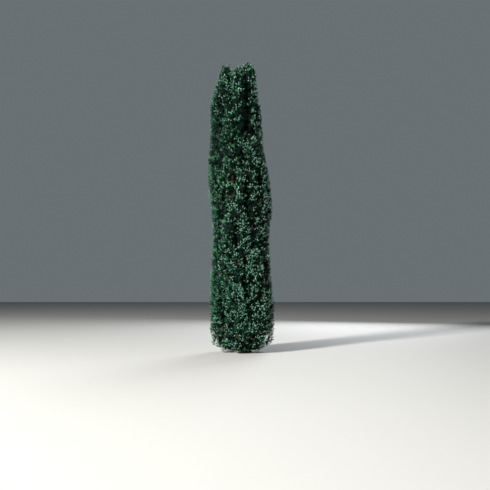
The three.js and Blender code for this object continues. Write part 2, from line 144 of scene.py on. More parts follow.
# Where a bough's bark ends inside its plume's stem, and how it thins out before: from which share
# of its curve, over what share and by how much
BOUGH_END = 0.88
BOUGH_THINS_FROM, BOUGH_THINS_OVER, BOUGH_THINNING = 0.74, 0.12, 0.45
STEM_SHOW = 42  # how far under its plume a limb ends
STEM_TOP_RADIUS = 5
STEM_OVER_BOUGH = 1  # how much thicker a side plume's stem starts than its bough ends
STEM_ABOVE_FOOT = 25
STEM_BELOW_TIP = 150
STEM_CLIMB_POWER = 1.5
STEM_SMOOTHINGS = 3
STEM_RELIEF = 0.4
# The points that a stem shares with its limb: depths under a leader's end, shares of a bough's curve
STEM_LEADER_DROPS = np.array([90.0, 60.0, 30.0, 0.0])
STEM_BOUGH_SHARES = np.array([0.7, 0.76, 0.82, 0.88, 0.94])
# Points along each limb, and its sides
LEADER_STATIONS, LEADER_SIDES = 110, 16
BOUGH_STATIONS, BOUGH_SIDES = 26, 12
STEM_STATIONS, STEM_SIDES = 26, 7

# The bark's plates in layers: width, height and part of the relief. Then how high a full one stands
TRUNK_PLATES = [(36, 125, 1.0), (17, 50, 0.45)]
TRUNK_PLATE_LIFT = 13
LEADER_PLATES = [(34, 110, 1.0)]
LEADER_PLATE_LIFT = 5
BOUGH_PLATES = [(20, 60, 1.0)]
BOUGH_PLATE_LIFT = 2.2
LEAST_PLATE_COLUMNS = 3
PLATE_COLUMN_SEED = 3
PLATE_LEAST_LIFT = 0.3
PLATE_PEEL = 0.45
PLATE_STAGGER = 0.25
# The sway of the plates' columns up a limb: share of a plate's width, and rate
BROAD_SWAY, BROAD_SWAY_RATE = 0.35, 2.3
FINE_SWAY, FINE_SWAY_RATE = 0.2, 5.1
# How steeply a plate sinks to the grooves beside it and at its ends
SIDE_GROOVE_STEEPNESS, END_GROOVE_STEEPNESS = 2.4, 9

# Finer growth: nine twigs here for each one of the solids, each with three branchlets. A branchlet
# ends in a tuft of one leading shoot and three side shoots.
SOLIDS_TWIG_SPACING = 105
TWIG_SPACING = SOLIDS_TWIG_SPACING / 9
TWIG_ABOVE_FOOT = 35
TWIG_BELOW_TIP = 50
TWIG_RISE = 170
TWIG_STARTS_ABOVE_FOOT = 20
TWIG_STRAY = 0.5
TWIG_RADII = (6.0, 3.0)
# How far towards its middle tuft a twig reaches and stays under it, and the place of its knee
TWIG_REACH, TWIG_END_DROP = 0.8, 45
TWIG_KNEE_AT, TWIG_KNEE_DROP = 0.6, 12
BRANCHLET_RADII = (2.7, 1.4)
BRANCHLET_LEAVES_AT = np.array([0.6, 0.85, 0.6])  # where on its twig each branchlet starts
BRANCHLET_BEND_AT, BRANCHLET_BEND_DROP = 0.6, 14
BRANCH_SIDES = 3
COLUMN_APART = 84
COLUMN_LIFTS = np.array([-22, 34, -10])
SITE_STRAY = 70
SITE_ABOVE_FOOT = 10
LEAST_SITE_RADIUS = 90
SKIRT_DROOP = 110  # how far the tufts at a skirt plume's foot hang down
SKIRT_DROOP_RUN = 330
LOWEST_TUFT = 48

FULLNESS = 1.15  # tufts fill this much of a plume's skin, up to the neighbours' spaces
TUFT_SUNK = 74
TUFT_SUNK_SPREAD = 0.8
LEAST_TUFT_OUT = 12
CLEFT_WIDTH = 58  # tufts nearer than this to a neighbour's space sink into the cleft between them
CLEFT_SINK = 10
CLEFT_SHADE = 0.4
CLEFT_THINNING = 0.1
TIP_PULL = 50  # how much nearer to the axis tufts stand at a plume's tip
TIP_PULL_RUN = 260
TUFT_BELOW_TIP = 82
SHOOT_BELOW_TIP = 36
# A plume's highest tufts stop by chance anywhere in this height under TUFT_BELOW_TIP, most of them
# in its lower part
CREST_RAGGED = 170
SIDE_RAGGED = 80
RAGGED_POWER = 0.7
SHOWN_DEPTH = 20  # tufts sunk less than this in the crown all grow
BARE_DEPTH = 80  # and none grow where they are sunk more than this
OUTLINE_KEEP = 15  # how far inside the outline the tips of shoots stay
WIDEST = 808  # and the most that they reach

SHOOT_LENGTH = 84
SHOOT_SPREAD = 0.45
SHOOT_LEAN = 0.8
LEAN_SPREAD = 0.8
TURN_SPREAD = 0.7
TIP_UPRIGHT = 0.75  # how much less the leading shoots lean at a plume's tip
SHOOT_BEND = 0.3
WISP_SHARE = 0.06
WISP_LENGTH = 1.4
# Side shoots: how much each follows the lead, turns aside and leans outwards, and its length
SIDE_SHOOTS = [(0.55, -0.95, 0.3, 0.85), (0.55, 0.95, 0.3, 0.85), (0.25, 0.0, 1.0, 0.7)]
SIDE_SHOOT_STRAY = 0.6
TIP_CLOSING = 0.6  # how much less the side shoots spread at a plume's tip
SAME_TINT_SHARE = 0.3
LOW_SHADE = 0.45  # how much darker a side plume's foot is, above the tips of the plumes under it
STALK_RADIUS = 1.4
STALK_END = 0.94  # the share of a shoot's length at which its stalk ends

# The fold between the middle and the right crest plumes, dark from painted shade on its tufts: its place
# from the side, its half width, its lowest and highest point, the height over which it fades there, and
# how far its tufts sink
FOLD_X, FOLD_WIDTH, FOLD_FOOT, FOLD_TOP, FOLD_FADE = 92, 140, 5080, 6600, 200
FOLD_SINK = 25

# The shares of shoots of each tint. Deep ones: everywhere, and more at the top and more on the right as
# painted shade
DEEP_SHARE, DEEP_PAINTED_SHADE_HIGH, DEEP_PAINTED_SHADE_RIGHT = 0.15, 0.48, 0.36
# Painted highlights, pale needles that stand in for the sun's glints: their share at the foot, how much
# less at the top, and by what part less on the left
PAINTED_HIGHLIGHT_SHARE, PAINTED_HIGHLIGHT_LESS_HIGH, PAINTED_HIGHLIGHT_LESS_LEFT = 0.5, 0.22, 0.5
# Fresh ones: everywhere, more on the left as painted light, how much less of that at the top, and more at
# the tips
FRESH_SHARE, FRESH_PAINTED_LIGHT_LEFT, FRESH_PAINTED_LIGHT_LESS_HIGH, FRESH_TIPS = 0.04, 0.32, 0.16, 0.18
FRESH_TIPS_FROM = 6450
WHOLLY_LEFT, WHOLLY_RIGHT = 800, 600  # the distances from the middle at which these shares are full
# Painted shade: shoots get the darkest tint where they are sunk by more than a chance that starts here
# and has this run, and the deep tint, also as painted shade, where they stand in the fold by more than a
# like chance
DARKEST_FROM, DARKEST_RUN = 0.3, 1.1
FOLD_PAINTED_SHADE_FROM, FOLD_PAINTED_SHADE_RUN = 0.2, 0.6
# Tufts that have died off: their share in a cleft at their own height, the parts of it that stand in
# the open and at other heights, that height, and how far they spread from it
DRY_SHARE, DRY_OPEN, DRY_ELSEWHERE, DRY_HEIGHT, DRY_RUN = 0.045, 0.3, 0.1, 1500, 500

NEEDLE_LENGTH = 30
NEEDLE_WIDTH = 6.9
NEEDLE_WIDEST_AT = 0.42
NEEDLE_FOLD = 0.3
NEEDLE_FIRST_AT = 0.6  # the place of the first needle of half a shoot, in steps between needles
NEEDLE_TURN_STRAY = 0.5
NEEDLE_SPLAY = (1.25, 0.45)  # radians from the shoot, at its root and at its tip
NEEDLE_CLOSING_POWER = 1.3
NEEDLE_SPLAY_STRAY = 0.3
NEEDLE_SHORTER = 0.3  # by what part the needles at a shoot's tip are shorter
SHORTEST_SHOOT, LONGEST_SHOOT = 0.8, 1.1  # the shares between which needles follow a shoot's length
BARE_SHARE = 0.33  # the part of a shoot's foot that has lost its needles
LEAST_SIZE, SIZE_SPREAD = 0.8, 0.4  # of a needle or a spray, drawn by chance

# The flat shoots of a spray of old needles: teeth on each side, length, half width, how far along
# the spray the shoot starts and its turn aside in radians
NEAR_SPRAY = [(7, 130, 34, 0, 0.0), (4, 80, 28, 24, 0.7), (4, 80, 28, 42, -0.7)]
DEEP_SPRAY = [(11, 205, 76, 0, 0.0)]
# Two layers of sprays: their shoots, the least and most that they are sunk under the skin, and how
# far they turn from facing outwards
SPRAY_LAYERS = [(NEAR_SPRAY, 32, 96, 4.4), (DEEP_SPRAY, 86, 215, 2.4)]
TOOTH_LEAN = 0.75  # how far a tooth leans towards the tip, in half widths
TOOTH_LIFT = 0.12  # how far teeth stand above and below the middle by turns, in half widths
TOOTH_BASE = 1.25  # in steps between teeth
TOOTHLESS_END = 0.4  # in the same steps
TOOTH_WAVE = (0.22, 0.66)  # the start and the run of the half wave that the teeth's widths follow
SPRAY_SPACING = 6.9
SPRAY_PLUME_TURN = 0.7  # from one plume's first spray to the next one's
SPRAY_LEAN = 0.12
SPRAY_ASIDE = 0.9
CREST_SPRAY_TIP = (150, 480)  # sprays end this far below a crest plume's tip and shrink from there
SIDE_SPRAY_TIP = (110, 280)
SPRAY_DEEPEST = 240
SIDE_ON_SINK = 44  # how much deeper a spray is sunk that stands side on
SPRAY_STALK_RISE = 70
SPRAY_STALK_RADIUS = 2.2
SPRAY_LEAST_SHARE = 0.3
LEADER_SPRAY_SPACING = 14.0
LEADER_SPRAYS_FROM = 760
LEADER_SPRAY_LEAN = (0.4, 1.1)
LEADER_SPRAY_TURN = 0.9

# Where the draws of each kind of growth start
TWIG_SEED, TUFT_SEED, TINT_SEED, SPRAY_SEED, LEADER_SPRAY_SEED, NEEDLE_SEED = 100, 55, 70, 400, 800, 1000


def mix(start, end, share):
    """The value that lies the given share of the way from start to end."""
    return start + (end - start) * share


def smoothstep(share):
    """Three times the square less twice the cube of a share held between 0 and 1."""
    share = np.clip(share, 0, 1)
    return share * share * (3 - 2 * share)


def chance(a, b):
    """The fraction of a large sine of the two numbers: a repeatable number from 0 to 1."""
    spread = np.sin(a * 12.9898 + b * 78.233) * 43758.5453
    return spread - np.floor(spread)


def stray(dice, shape):
    """Numbers that the dice draw from -0.5 to 0.5."""
    return dice.random(shape) - 0.5


def bearing_unit(bearing):
    """The level unit vector at a bearing: its cosine, its sine and no height."""
    return np.stack([np.cos(bearing), np.sin(bearing), np.zeros_like(bearing)], -1)


def unit(vectors):
    """Each vector divided by its length."""
    return vectors / np.maximum(np.linalg.norm(vectors, axis=-1, keepdims=True), 1e-9)


def reach_at(z, bearing):
    """The crown's reach: the side's reach weighed by the squared cosine of the bearing, and the
    mean of both sides times the depth share weighed by the rest."""
    left = np.interp(z, OUTLINE[:, 0], OUTLINE[:, 1])
    right = np.interp(z, OUTLINE[:, 0], OUTLINE[:, 2])
    sideways = np.cos(bearing) ** 2
    side = np.where(np.cos(bearing) < 0, left, right)
    return side * sideways + DEPTH_SHARE * (left + right) / 2 * (1 - sideways)


def leader_climb(z):
    """The share of a leader's height, from the fork to under its crest plume, that z has reached."""
    return np.clip((z - TRUNK_FORK) / (CREST_FOOT - STEM_SHOW - TRUNK_FORK), 0, 1)


def leader_ring(z, end_ring):
    """How far out a leader stands: from the fork's ring to its last ring by a power of the climb."""
    return mix(LEADER_RING, end_ring, leader_climb(z) ** LEADER_SPREAD)


def leader_points(enters, z):
    """A leader's axis: its ring in its own direction, plus what is left of the trunk's lean."""
    enters = np.array(enters, float)
    ring = np.linalg.norm(enters)
    level = unit(enters) * leader_ring(z, ring)[:, None] + TRUNK_LEAN * (1 - leader_climb(z))[:, None]
    return np.concatenate([level, z[:, None]], axis=1)


class Plume:
    """A narrow mass of foliage, with a radius, an axis and a wavy skin at each height."""

    def __init__(self, name, index, foot, tip, girth, full_at):
        self.name = name
        self.index = index
        self.foot = foot
        self.tip = tip
        self.girth = girth
        self.full_at = full_at

    def climb(self, z):
        """The share of the way from the foot to the tip."""
        return (z - self.foot) / (self.tip - self.foot)

    def radius(self, z):
        """The girth, times a share that grows smoothly from the foot, times one less e to the
        minus distance below the tip over the taper."""
        below = np.maximum(0, self.tip - z)
        share = mix(FOOT_SHARE, 1, smoothstep(self.climb(z) / self.full_at))
        return self.girth * share * (1 - np.exp(-below / TIP_TAPER))

    def skin(self, z, bearing):
        """The radius times one plus the swell of the waves, sines of bearing and height."""
        waves = [
            part * np.sin(lobes * bearing + z / climb + turn * self.index)
            for part, lobes, climb, turn in SKIN_WAVES
        ]
        return self.radius(z) * (1 + SKIN_SWELL * sum(waves))

    def at(self, z, bearing=None, out=0):
        """The point at a height, moved out from the axis at a bearing."""
        points = np.concatenate([self.axis(z), z[..., None]], axis=-1)
        if bearing is None:
            return points
        return points + bearing_unit(bearing) * np.asarray(out)[..., None]


class CrestPlume(Plume):
    """A plume on a leader: its axis runs straight from where the leader enters to the tip."""

    def __init__(self, leader, index):
        name, enters, tip, girth = leader
        super().__init__("crest_" + name, index, CREST_FOOT, tip[2], girth, CREST_FULL_AT)
        self.enters = np.array(enters, float)
        self.ends = np.array(tip[:2], float)

    def axis(self, z):
        """Where the axis enters, moved by the share of the climb towards where it ends."""
        share = np.clip(self.climb(z), 0, 1)[..., None]
        return mix(self.enters, self.ends, share)


class SidePlume(Plume):
    """A plume on a side bough: its axis leans out until its outer side follows the outline."""

    def __init__(self, ring, number, index):
        name, longest, lowest_foot, outside, entry_slope, full_at, places = ring
        degrees, tip = places[number]
        foot = max(tip - longest, lowest_foot)
        self.bearing = math.radians(degrees)
        self.entry_slope = entry_slope
        girth = min(SIDE_GIRTH, GIRTH_SHARE * float(reach_at((foot + tip) / 2, self.bearing)))
        super().__init__(name + "_" + str(number + 1), index, foot, tip, girth, full_at)
        outermost = math.hypot(*LEADERS[0][1])
        self.foot_ring = float(leader_ring(foot, outermost)) + outside

    def axis(self, z):
        """The way out from the trunk at the plume's bearing: from the foot's own ring, smoothly to
        the outline's reach less the plume's radius."""
        outside = reach_at(z, self.bearing) - self.radius(z)
        climbed = smoothstep(self.climb(z) / self.full_at)
        out = np.maximum(LEAST_RING_SHARE * self.foot_ring, mix(self.foot_ring, outside, climbed))
        return out[..., None] * np.array([math.cos(self.bearing), math.sin(self.bearing)])


CRESTS = [CrestPlume(leader, i) for i, leader in enumerate(LEADERS)]
PLACES = [(ring, number) for ring in RINGS for number in range(len(ring[-1]))]
SIDES = [SidePlume(ring, number, len(CRESTS) + i) for i, (ring, number) in enumerate(PLACES)]
PLUMES = CRESTS + SIDES


def contests(plume, others, z, x, y, out):
    """How a plume stands against others for points at the given distances out from its own axis, a
    row of them at each height. Gives, for each other plume, the heights that it claims and how far
    inside the plume's own space the points are: the difference of the distances to the two axes,
    each weighed by the other plume's radius, over the sum of the radii."""
    own = np.maximum(LEAST_CLAIM, plume.radius(z))[:, None]
    for other in others:
        if other is plume:
            continue
        claims = (z > other.foot - CLAIM_BEYOND) & (z < other.tip - TIP_GIVEN_UP)
        theirs = np.maximum(LEAST_CLAIM, other.radius(z))[:, None]
        axis = other.axis(z)
        away = np.hypot(x - axis[:, :1], y - axis[:, 1:])
        yield claims[:, None], (away * own - out * theirs) / (own + theirs)


def free_room(plume, z, bearing):
    """The free distance from a plume's axis: its skin times the fullness, or the last step of a
    march outwards before it leaves the outline or comes within the gap of a neighbour's space."""
    out = np.arange(MARCH, MARCH_END, MARCH)[None, :]
    start = plume.axis(z)
    x = start[:, :1] + out * np.cos(bearing)[:, None]
    y = start[:, 1:] + out * np.sin(bearing)[:, None]
    blocked = np.hypot(x, y) > reach_at(z[:, None], np.arctan2(y, x)) + OUTLINE_GIVE
    near = [other for other in PLUMES if other.foot <= z.max() and other.tip >= z.min()]
    for claims, inside in contests(plume, near, z, x, y, out):
        blocked |= claims & (inside < SPACE_GAP)
    first = np.where(blocked.any(axis=1), out[0, blocked.argmax(axis=1)] - MARCH, np.inf)
    return np.minimum(FULLNESS * plume.skin(z, bearing), first)


def border_margin(plume, points):
    """How far inside their plume's own space points are: the least of its contests with others."""
    x, y, z = points[:, :1], points[:, 1:2], points[:, 2]
    axis = plume.axis(z)
    out = np.hypot(x - axis[:, :1], y - axis[:, 1:])
    margin = np.full((len(points), 1), np.inf)
    for claims, inside in contests(plume, PLUMES, z, x, y, out):
        margin = np.where(claims, np.minimum(margin, inside), margin)
    return margin[:, 0]


def held_in(points, ends, outward, inside):
    """Points moved back inwards by as far as their ends stand out of the outline, less a margin."""
    reach = reach_at(ends[:, 2], np.arctan2(ends[:, 1], ends[:, 0])) - inside
    over = np.maximum(0, np.hypot(ends[:, 0], ends[:, 1]) - np.minimum(reach, WIDEST))
    return points - outward * over[:, None]


def crown_depth(points):
    """How far points are inside the crown: the most that any plume's skin reaches past them."""
    z = points[:, 2]
    depth = np.full(len(points), -np.inf)
    for plume in PLUMES:
        axis = plume.axis(z)
        x = points[:, 0] - axis[:, 0]
        y = points[:, 1] - axis[:, 1]
        inside = plume.skin(z, np.arctan2(y, x)) - np.hypot(x, y)
        within = (z > plume.foot) & (z < plume.tip)
        depth = np.where(within, np.maximum(depth, inside), depth)
    return depth


# Surfaces


def square_to(along):
    """Two unit vectors square to each given one and to each other, turning right-handed round it."""
    sign = np.where(along[..., 2] < 0, -1.0, 1.0)
    a = -1 / (sign + along[..., 2])
    b = along[..., 0] * along[..., 1] * a
    across = np.stack([1 + sign * along[..., 0] ** 2 * a, sign * b, -sign * along[..., 0]], -1)
    beside = np.stack([b, sign + along[..., 1] ** 2 * a, -along[..., 1]], -1)
    return across, beside


def tubes(paths, radii, sides):
    """Many tapering limbs at once: at each point of each path a ring of corners stands at its
    radius, in the plane square to the path, and flat caps close both ends."""
    limbs, stations = paths.shape[:2]
    across, beside = square_to(unit(np.gradient(paths, axis=1)))
    turn = np.linspace(0, 2 * np.pi, sides, endpoint=False)
    spokes = across[:, :, None] * np.cos(turn)[:, None] + beside[:, :, None] * np.sin(turn)[:, None]
    if radii.ndim == 2:
        radii = radii[:, :, None]
    points = paths[:, :, None] + spokes * radii[..., None]
    number = np.arange(limbs * stations * sides).reshape(limbs, stations, sides)
    low, high = number[:, :-1], number[:, 1:]
    low_next, high_next = np.roll(low, -1, axis=2), np.roll(high, -1, axis=2)
    walls = [np.stack([low, low_next, high_next], -1), np.stack([low, high_next, high], -1)]
    step = np.arange(1, sides - 1)
    root, tip = number[:, 0], number[:, -1]
    root_middle = np.repeat(root[:, :1], len(step), axis=1)
    tip_middle = np.repeat(tip[:, :1], len(step), axis=1)
    caps = [
        np.stack([root_middle, root[:, step + 1], root[:, step]], -1),
        np.stack([tip_middle, tip[:, step], tip[:, step + 1]], -1),
    ]
    faces = np.concatenate([part.reshape(-1, 3) for part in walls + caps])
    return points.reshape(-1, 3), faces


def bezier(start, bend, end, share):
    """Points on the quadratic curves from start to end that the bend pulls, at each share."""
    share = share[:, None]
    ways = [start[..., None, :] * (1 - share) ** 2, bend[..., None, :] * 2 * share * (1 - share)]
    return ways[0] + ways[1] + end[..., None, :] * share**2


def spikes(start, end, radius):
    """Many thin three-sided cones: three corners square to each line at its start, and its end."""
    across, beside = square_to(unit(end - start))
    turn = np.arange(3) * 2 * np.pi / 3
    spokes = across[:, None] * np.cos(turn)[:, None] + beside[:, None] * np.sin(turn)[:, None]
    points = np.concatenate([start[:, None] + radius * spokes, end[:, None]], axis=1)
    first = np.arange(0, 4 * len(start), 4)[:, None]
    faces = np.concatenate([first + corner for corner in ([0, 1, 3], [1, 2, 3], [2, 0, 3], [0, 2, 1])])
    return points.reshape(-1, 3), faces


def bark_relief(turn, z, radius, plates):
    """Flaking bark in layers of plates, each layer with its width, height and part. The plates stand
    in staggered columns that sway up the limb. Each is lifted by a chance of its own, peels away
    towards its lower end and sinks to a groove at its edges. Heights are in shares of a full lift."""
    height = 0 * turn + 0 * z
    for wide, tall, part in plates:
        columns = np.maximum(LEAST_PLATE_COLUMNS, np.round(2 * np.pi * radius.mean() / wide))
        climb = z / tall
        broad = BROAD_SWAY * np.sin(climb * BROAD_SWAY_RATE + 2 * np.sin(turn * 2))
        u = turn / (2 * np.pi) * columns + (broad + FINE_SWAY * np.sin(climb * FINE_SWAY_RATE))
        column = np.floor(u)
        v = climb + chance(column % columns, PLATE_COLUMN_SEED) + PLATE_STAGGER * np.sin(u * 2 * np.pi)
        row = np.floor(v)
        lift = mix(PLATE_LEAST_LIFT, 1, chance(column % columns, row))
        peel = 1 - PLATE_PEEL * (v - row)
        beside = np.minimum(u - column, column + 1 - u) * SIDE_GROOVE_STEEPNESS
        ends = np.minimum(v - row, row + 1 - v) * END_GROOVE_STEEPNESS
        height = height + part * lift * peel * smoothstep(2 * np.minimum(beside, ends))
    return height / sum(part for _, _, part in plates)


def put_piece(name, surface, material, nodes, smooth=True):
    """One mesh from whole arrays of points in millimetres and of triangles, riding on the root. A
    third array, on bark, gives the relief's height at each point."""
    points, faces, *relief = surface
    mesh = bpy.data.meshes.new(name)
    mesh.vertices.add(len(points))
    mesh.vertices.foreach_set("co", (points * MM).astype(np.float32).ravel())
    mesh.loops.add(faces.size)
    mesh.loops.foreach_set("vertex_index", faces.astype(np.int32).ravel())
    mesh.polygons.add(len(faces))
    mesh.polygons.foreach_set("loop_start", np.arange(0, faces.size, 3, dtype=np.int32))
    mesh.polygons.foreach_set("use_smooth", np.full(len(faces), smooth))
    mesh.materials.append(material)
    mesh.update(calc_edges=True)
    if relief:
        heights = mesh.attributes.new("relief", "FLOAT", "POINT").data
        heights.foreach_set("value", relief[0].astype(np.float32))
    piece = bpy.data.objects.new(name, mesh)
    bpy.context.scene.collection.objects.link(piece)
    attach(piece, "root")
    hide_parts(*nodes)
    return piece


def joined(surfaces):
    """Several surfaces as one, with the corner numbers of each moved past those before it."""
    points, faces, *relief = zip(*surfaces)
    starts = np.cumsum([0] + [len(part) for part in points[:-1]])
    faces = [part + start for part, start in zip(faces, starts)]
    return [np.concatenate(parts) for parts in (points, faces, *relief)]


# Materials


def linear(red, green, blue):
    """A colour given in screen values from 0 to 255, as the linear values that a shader reads."""
    screen = np.array([red, green, blue]) / 255
    value = np.where(screen <= 0.04045, screen / 12.92, ((screen + 0.055) / 1.055) ** 2.4)
    return (*[float(part) for part in value], 1.0)


# The sums of two layers of noise at which the shade ends and the light is full
NOISE_SHADE, NOISE_LIGHT = 0.72, 1.28
ROUGHNESS_SPREAD = 0.16


def fill(node, inputs):
    """Gives each input of a node, by name or number, a value or a link from another's output."""
    for name, value in inputs.items():
        if isinstance(value, bpy.types.NodeSocket):
            node.id_data.links.new(value, node.inputs[name])
        else:
            node.inputs[name].default_value = value
    return node


def blend_node(nodes, inputs):
    """A node that mixes two colours by a factor."""
    blend = nodes.new("ShaderNodeMix")
    blend.data_type = "RGBA"
    return fill(blend, inputs)


def maths_node(nodes, kind, operation, inputs):
    """A node that works out one operation on numbers or on vectors."""
    maths = nodes.new("ShaderNode" + kind)
    maths.operation = operation
    return fill(maths, dict(enumerate(inputs)))


def tone_group():
    """A shader group: two layers of noise in the object's own place, which can be drawn out, mix a
    shade and a light, and vary the roughness about a middle value."""
    group = bpy.data.node_groups.new("natural tone", "ShaderNodeTree")
    for name, kind, value in [
        ("Shade", "NodeSocketColor", (0, 0, 0, 1)),
        ("Light", "NodeSocketColor", (1, 1, 1, 1)),
        ("Broad scale", "NodeSocketFloat", 9.0),
        ("Fine scale", "NodeSocketFloat", 90.0),
        ("Roughness", "NodeSocketFloat", 0.5),
        ("Stretch", "NodeSocketVector", (1, 1, 1)),
    ]:
        socket = group.interface.new_socket(name, in_out="INPUT", socket_type=kind)
        socket.default_value = value
    for name, kind in [("Colour", "NodeSocketColor"), ("Roughness", "NodeSocketFloat")]:
        group.interface.new_socket(name, in_out="OUTPUT", socket_type=kind)
    nodes = group.nodes
    given = nodes.new("NodeGroupInput").outputs
    place = nodes.new("ShaderNodeTexCoord").outputs["Object"]
    drawn_out = maths_node(nodes, "VectorMath", "MULTIPLY", [place, given["Stretch"]])
    layers = []
    for scale in ["Broad scale", "Fine scale"]:
        inputs = {"Vector": drawn_out.outputs["Vector"], "Scale": given[scale], "Detail": 2}
        layers.append(fill(nodes.new("ShaderNodeTexNoise"), inputs).outputs["Fac"])
    both = maths_node(nodes, "Math", "ADD", layers)
    range_inputs = {"Value": both.outputs[0], "From Min": NOISE_SHADE, "From Max": NOISE_LIGHT}
    share = fill(nodes.new("ShaderNodeMapRange"), range_inputs).outputs["Result"]
    blend = blend_node(nodes, {"Factor": share, "A": given["Shade"], "B": given["Light"]})
    vary = maths_node(nodes, "Math", "MULTIPLY_ADD", [share, ROUGHNESS_SPREAD, given["Roughness"]])
    told = {"Colour": blend.outputs["Result"], "Roughness": vary.outputs[0]}
    fill(nodes.new("NodeGroupOutput"), told)
    return group


TONE = tone_group()


def toned_material(name, shade, light, roughness, scales=(9.0, 90.0), specular=0.2):
    """A plain base colour that the tone group varies slightly from place to place."""
    material = bpy.data.materials.new(name)
    material.use_nodes = True
    nodes = material.node_tree.nodes
    tone = nodes.new("ShaderNodeGroup")
    tone.node_tree = TONE
    fill(tone, {"Shade": linear(*shade), "Light": linear(*light), "Roughness": roughness})
    fill(tone, {"Broad scale": scales[0], "Fine scale": scales[1]})
    told = {"Base Color": tone.outputs["Colour"], "Roughness": tone.outputs["Roughness"]}
    fill(nodes["Principled BSDF"], {"Specular IOR Level": specular, **told})
    return material


def bark_material(name, shade, light, painted_groove_shade, grain_scale, bump_distance):
    """The toned colour, drawn out along the limb, that darkens to a painted shade where the relief is
    low in the grooves, under a bump of noise that is drawn out too."""
    material = toned_material(name, shade, light, roughness=0.78, scales=(22.0, 75.0))
    nodes = material.node_tree.nodes
    tone = fill(nodes["Group"], {"Stretch": (1, 1, 0.2)})
    relief = nodes.new("ShaderNodeAttribute")
    relief.attribute_name = "relief"
    range_inputs = {"Value": relief.outputs["Fac"], "From Min": 0.04, "From Max": 0.42}
    out_of_groove = fill(nodes.new("ShaderNodeMapRange"), range_inputs).outputs["Result"]
    colours = {"A": linear(*painted_groove_shade), "B": tone.outputs["Colour"]}
    blend = blend_node(nodes, {"Factor": out_of_groove, **colours})
    place = nodes.new("ShaderNodeTexCoord").outputs["Object"]
    stretch = fill(nodes.new("ShaderNodeMapping"), {"Vector": place, "Scale": (1, 1, 0.22)})
    grain_inputs = {"Vector": stretch.outputs["Vector"], "Scale": grain_scale, "Detail": 5}
    grain = fill(nodes.new("ShaderNodeTexNoise"), grain_inputs)
    bump_inputs = {"Height": grain.outputs["Fac"], "Strength": 0.7, "Distance": bump_distance}
    bump = fill(nodes.new("ShaderNodeBump"), bump_inputs)
    told = {"Base Color": blend.outputs["Result"], "Normal": bump.outputs["Normal"]}
    fill(nodes["Principled BSDF"], told)
    return material


# The tints of the needles: name, needles on half a shoot, shade, light, roughness, specular level
TINTS = [
    # painted shade: the darkest tint, for sunk shoots where shade falls
    ("dusk", 6, (2, 11, 8), (4, 20, 15), 0.55, 0.04),
    ("deep", 8, (2, 18, 13), (6, 33, 26), 0.44, 0.06),
    ("yew", 8, (14, 63, 48), (32, 95, 73), 0.36, 0.18),
    # painted highlights: pale needles that stand in for the sun's glints on glossy needles
    ("grey", 8, (94, 143, 122), (146, 188, 165), 0.34, 0.22),
    ("fresh", 8, (60, 121, 77), (102, 152, 94), 0.38, 0.2),
    ("dry", 6, (66, 48, 40), (104, 80, 66), 0.6, 0.1),
]
PAINTED_SHADE, DEEP, YEW, PAINTED_HIGHLIGHT, FRESH, DRY = range(len(TINTS))
NEEDLE_MATERIALS = [
    toned_material(name + " needles", shade, light, roughness, specular=specular)
    for name, _, shade, light, roughness, specular in TINTS
]
# The old needles of the near inner sprays: dark partly from age and partly as painted shade
OLD_NEEDLES_IN_PAINTED_SHADE = toned_material("old needles in painted shade", (2, 11, 8), (6, 20, 14), roughness=0.7, specular=0.03)
# Near black needles for the sprays deep inside the crown and on the leaders: painted shade
PAINTED_SHADE_DEEP_NEEDLES = toned_material("needles deep inside in painted shade", (1, 6, 4), (4, 13, 9), roughness=0.8, specular=0.02)
# The bark's dark and pale tones, and the painted shade in its grooves
BARK_COLOURS = [(58, 40, 32), (104, 76, 59), (17, 11, 9)]
TRUNK_BARK = bark_material("flaking bark", *BARK_COLOURS, grain_scale=70, bump_distance=0.004)
TWIG_BARK = toned_material("twig bark", (24, 22, 16), (54, 45, 31), roughness=0.7, scales=(12.0, 120.0))

# Trunk, leaders and boughs


def trunk_surface():
    """The solids' trunk: a shaft that widens to the fork, plus a fluted flare that dies away by e
    to the minus height over the flare's height. Under the fork it swells in a bell towards each
    leader. The bark's relief stands on it, and above the fork it closes in a low dome."""
    share = np.linspace(0, 1, TRUNK_ROWS) ** RING_BUNCHING
    turn = np.linspace(0, 2 * np.pi, TRUNK_COLUMNS, endpoint=False)[None, :]
    z = (share * TRUNK_FORK)[:, None]
    flute = np.cos(FLUTES * turn)
    flare = FLARE_DEPTH * np.exp(-z / FLARE_HEIGHT) * (1 + FLARE_FLUTE_DEPTH * flute)
    shaft = mix(TRUNK_RADIUS, FORK_RADIUS, share)[:, None] * (1 + SHAFT_FLUTE_DEPTH * flute)
    lobes = 0 * turn - 1
    for _, (x, y), *_ in LEADERS:
        away = np.angle(np.exp(1j * (turn - math.atan2(y, x))))
        lobes = lobes + FORK_LOBE_PEAK * np.exp(-((away / FORK_LOBE_HALF_TURN) ** 2))
    under_fork = smoothstep((z - TRUNK_FORK + FORK_LOBE_RUN) / FORK_LOBE_RUN)
    radius = shaft * (1 + FORK_LOBE * lobes * under_fork) + flare
    relief = bark_relief(turn, z, radius, TRUNK_PLATES)
    radius = radius + TRUNK_PLATE_LIFT * (relief - 0.5)
    dome = np.linspace(0, np.pi / 2, DOME_ROWS)[1:, None]
    radius = np.concatenate([radius, radius[-1:] * np.cos(dome) + DOME_TIP_RADIUS])
    relief = np.concatenate([relief, np.repeat(relief[-1:], len(dome), axis=0)])
    z = np.concatenate([z, TRUNK_FORK + FORK_RISE * np.sin(dome)])
    upright = np.concatenate([0 * z, 0 * z, z], axis=1)[None]
    points, faces = tubes(upright, radius[None], TRUNK_COLUMNS)
    points[:, :2] += TRUNK_LEAN * np.minimum(points[:, 2:] / TRUNK_FORK, 1)
    return points, faces, relief.ravel()


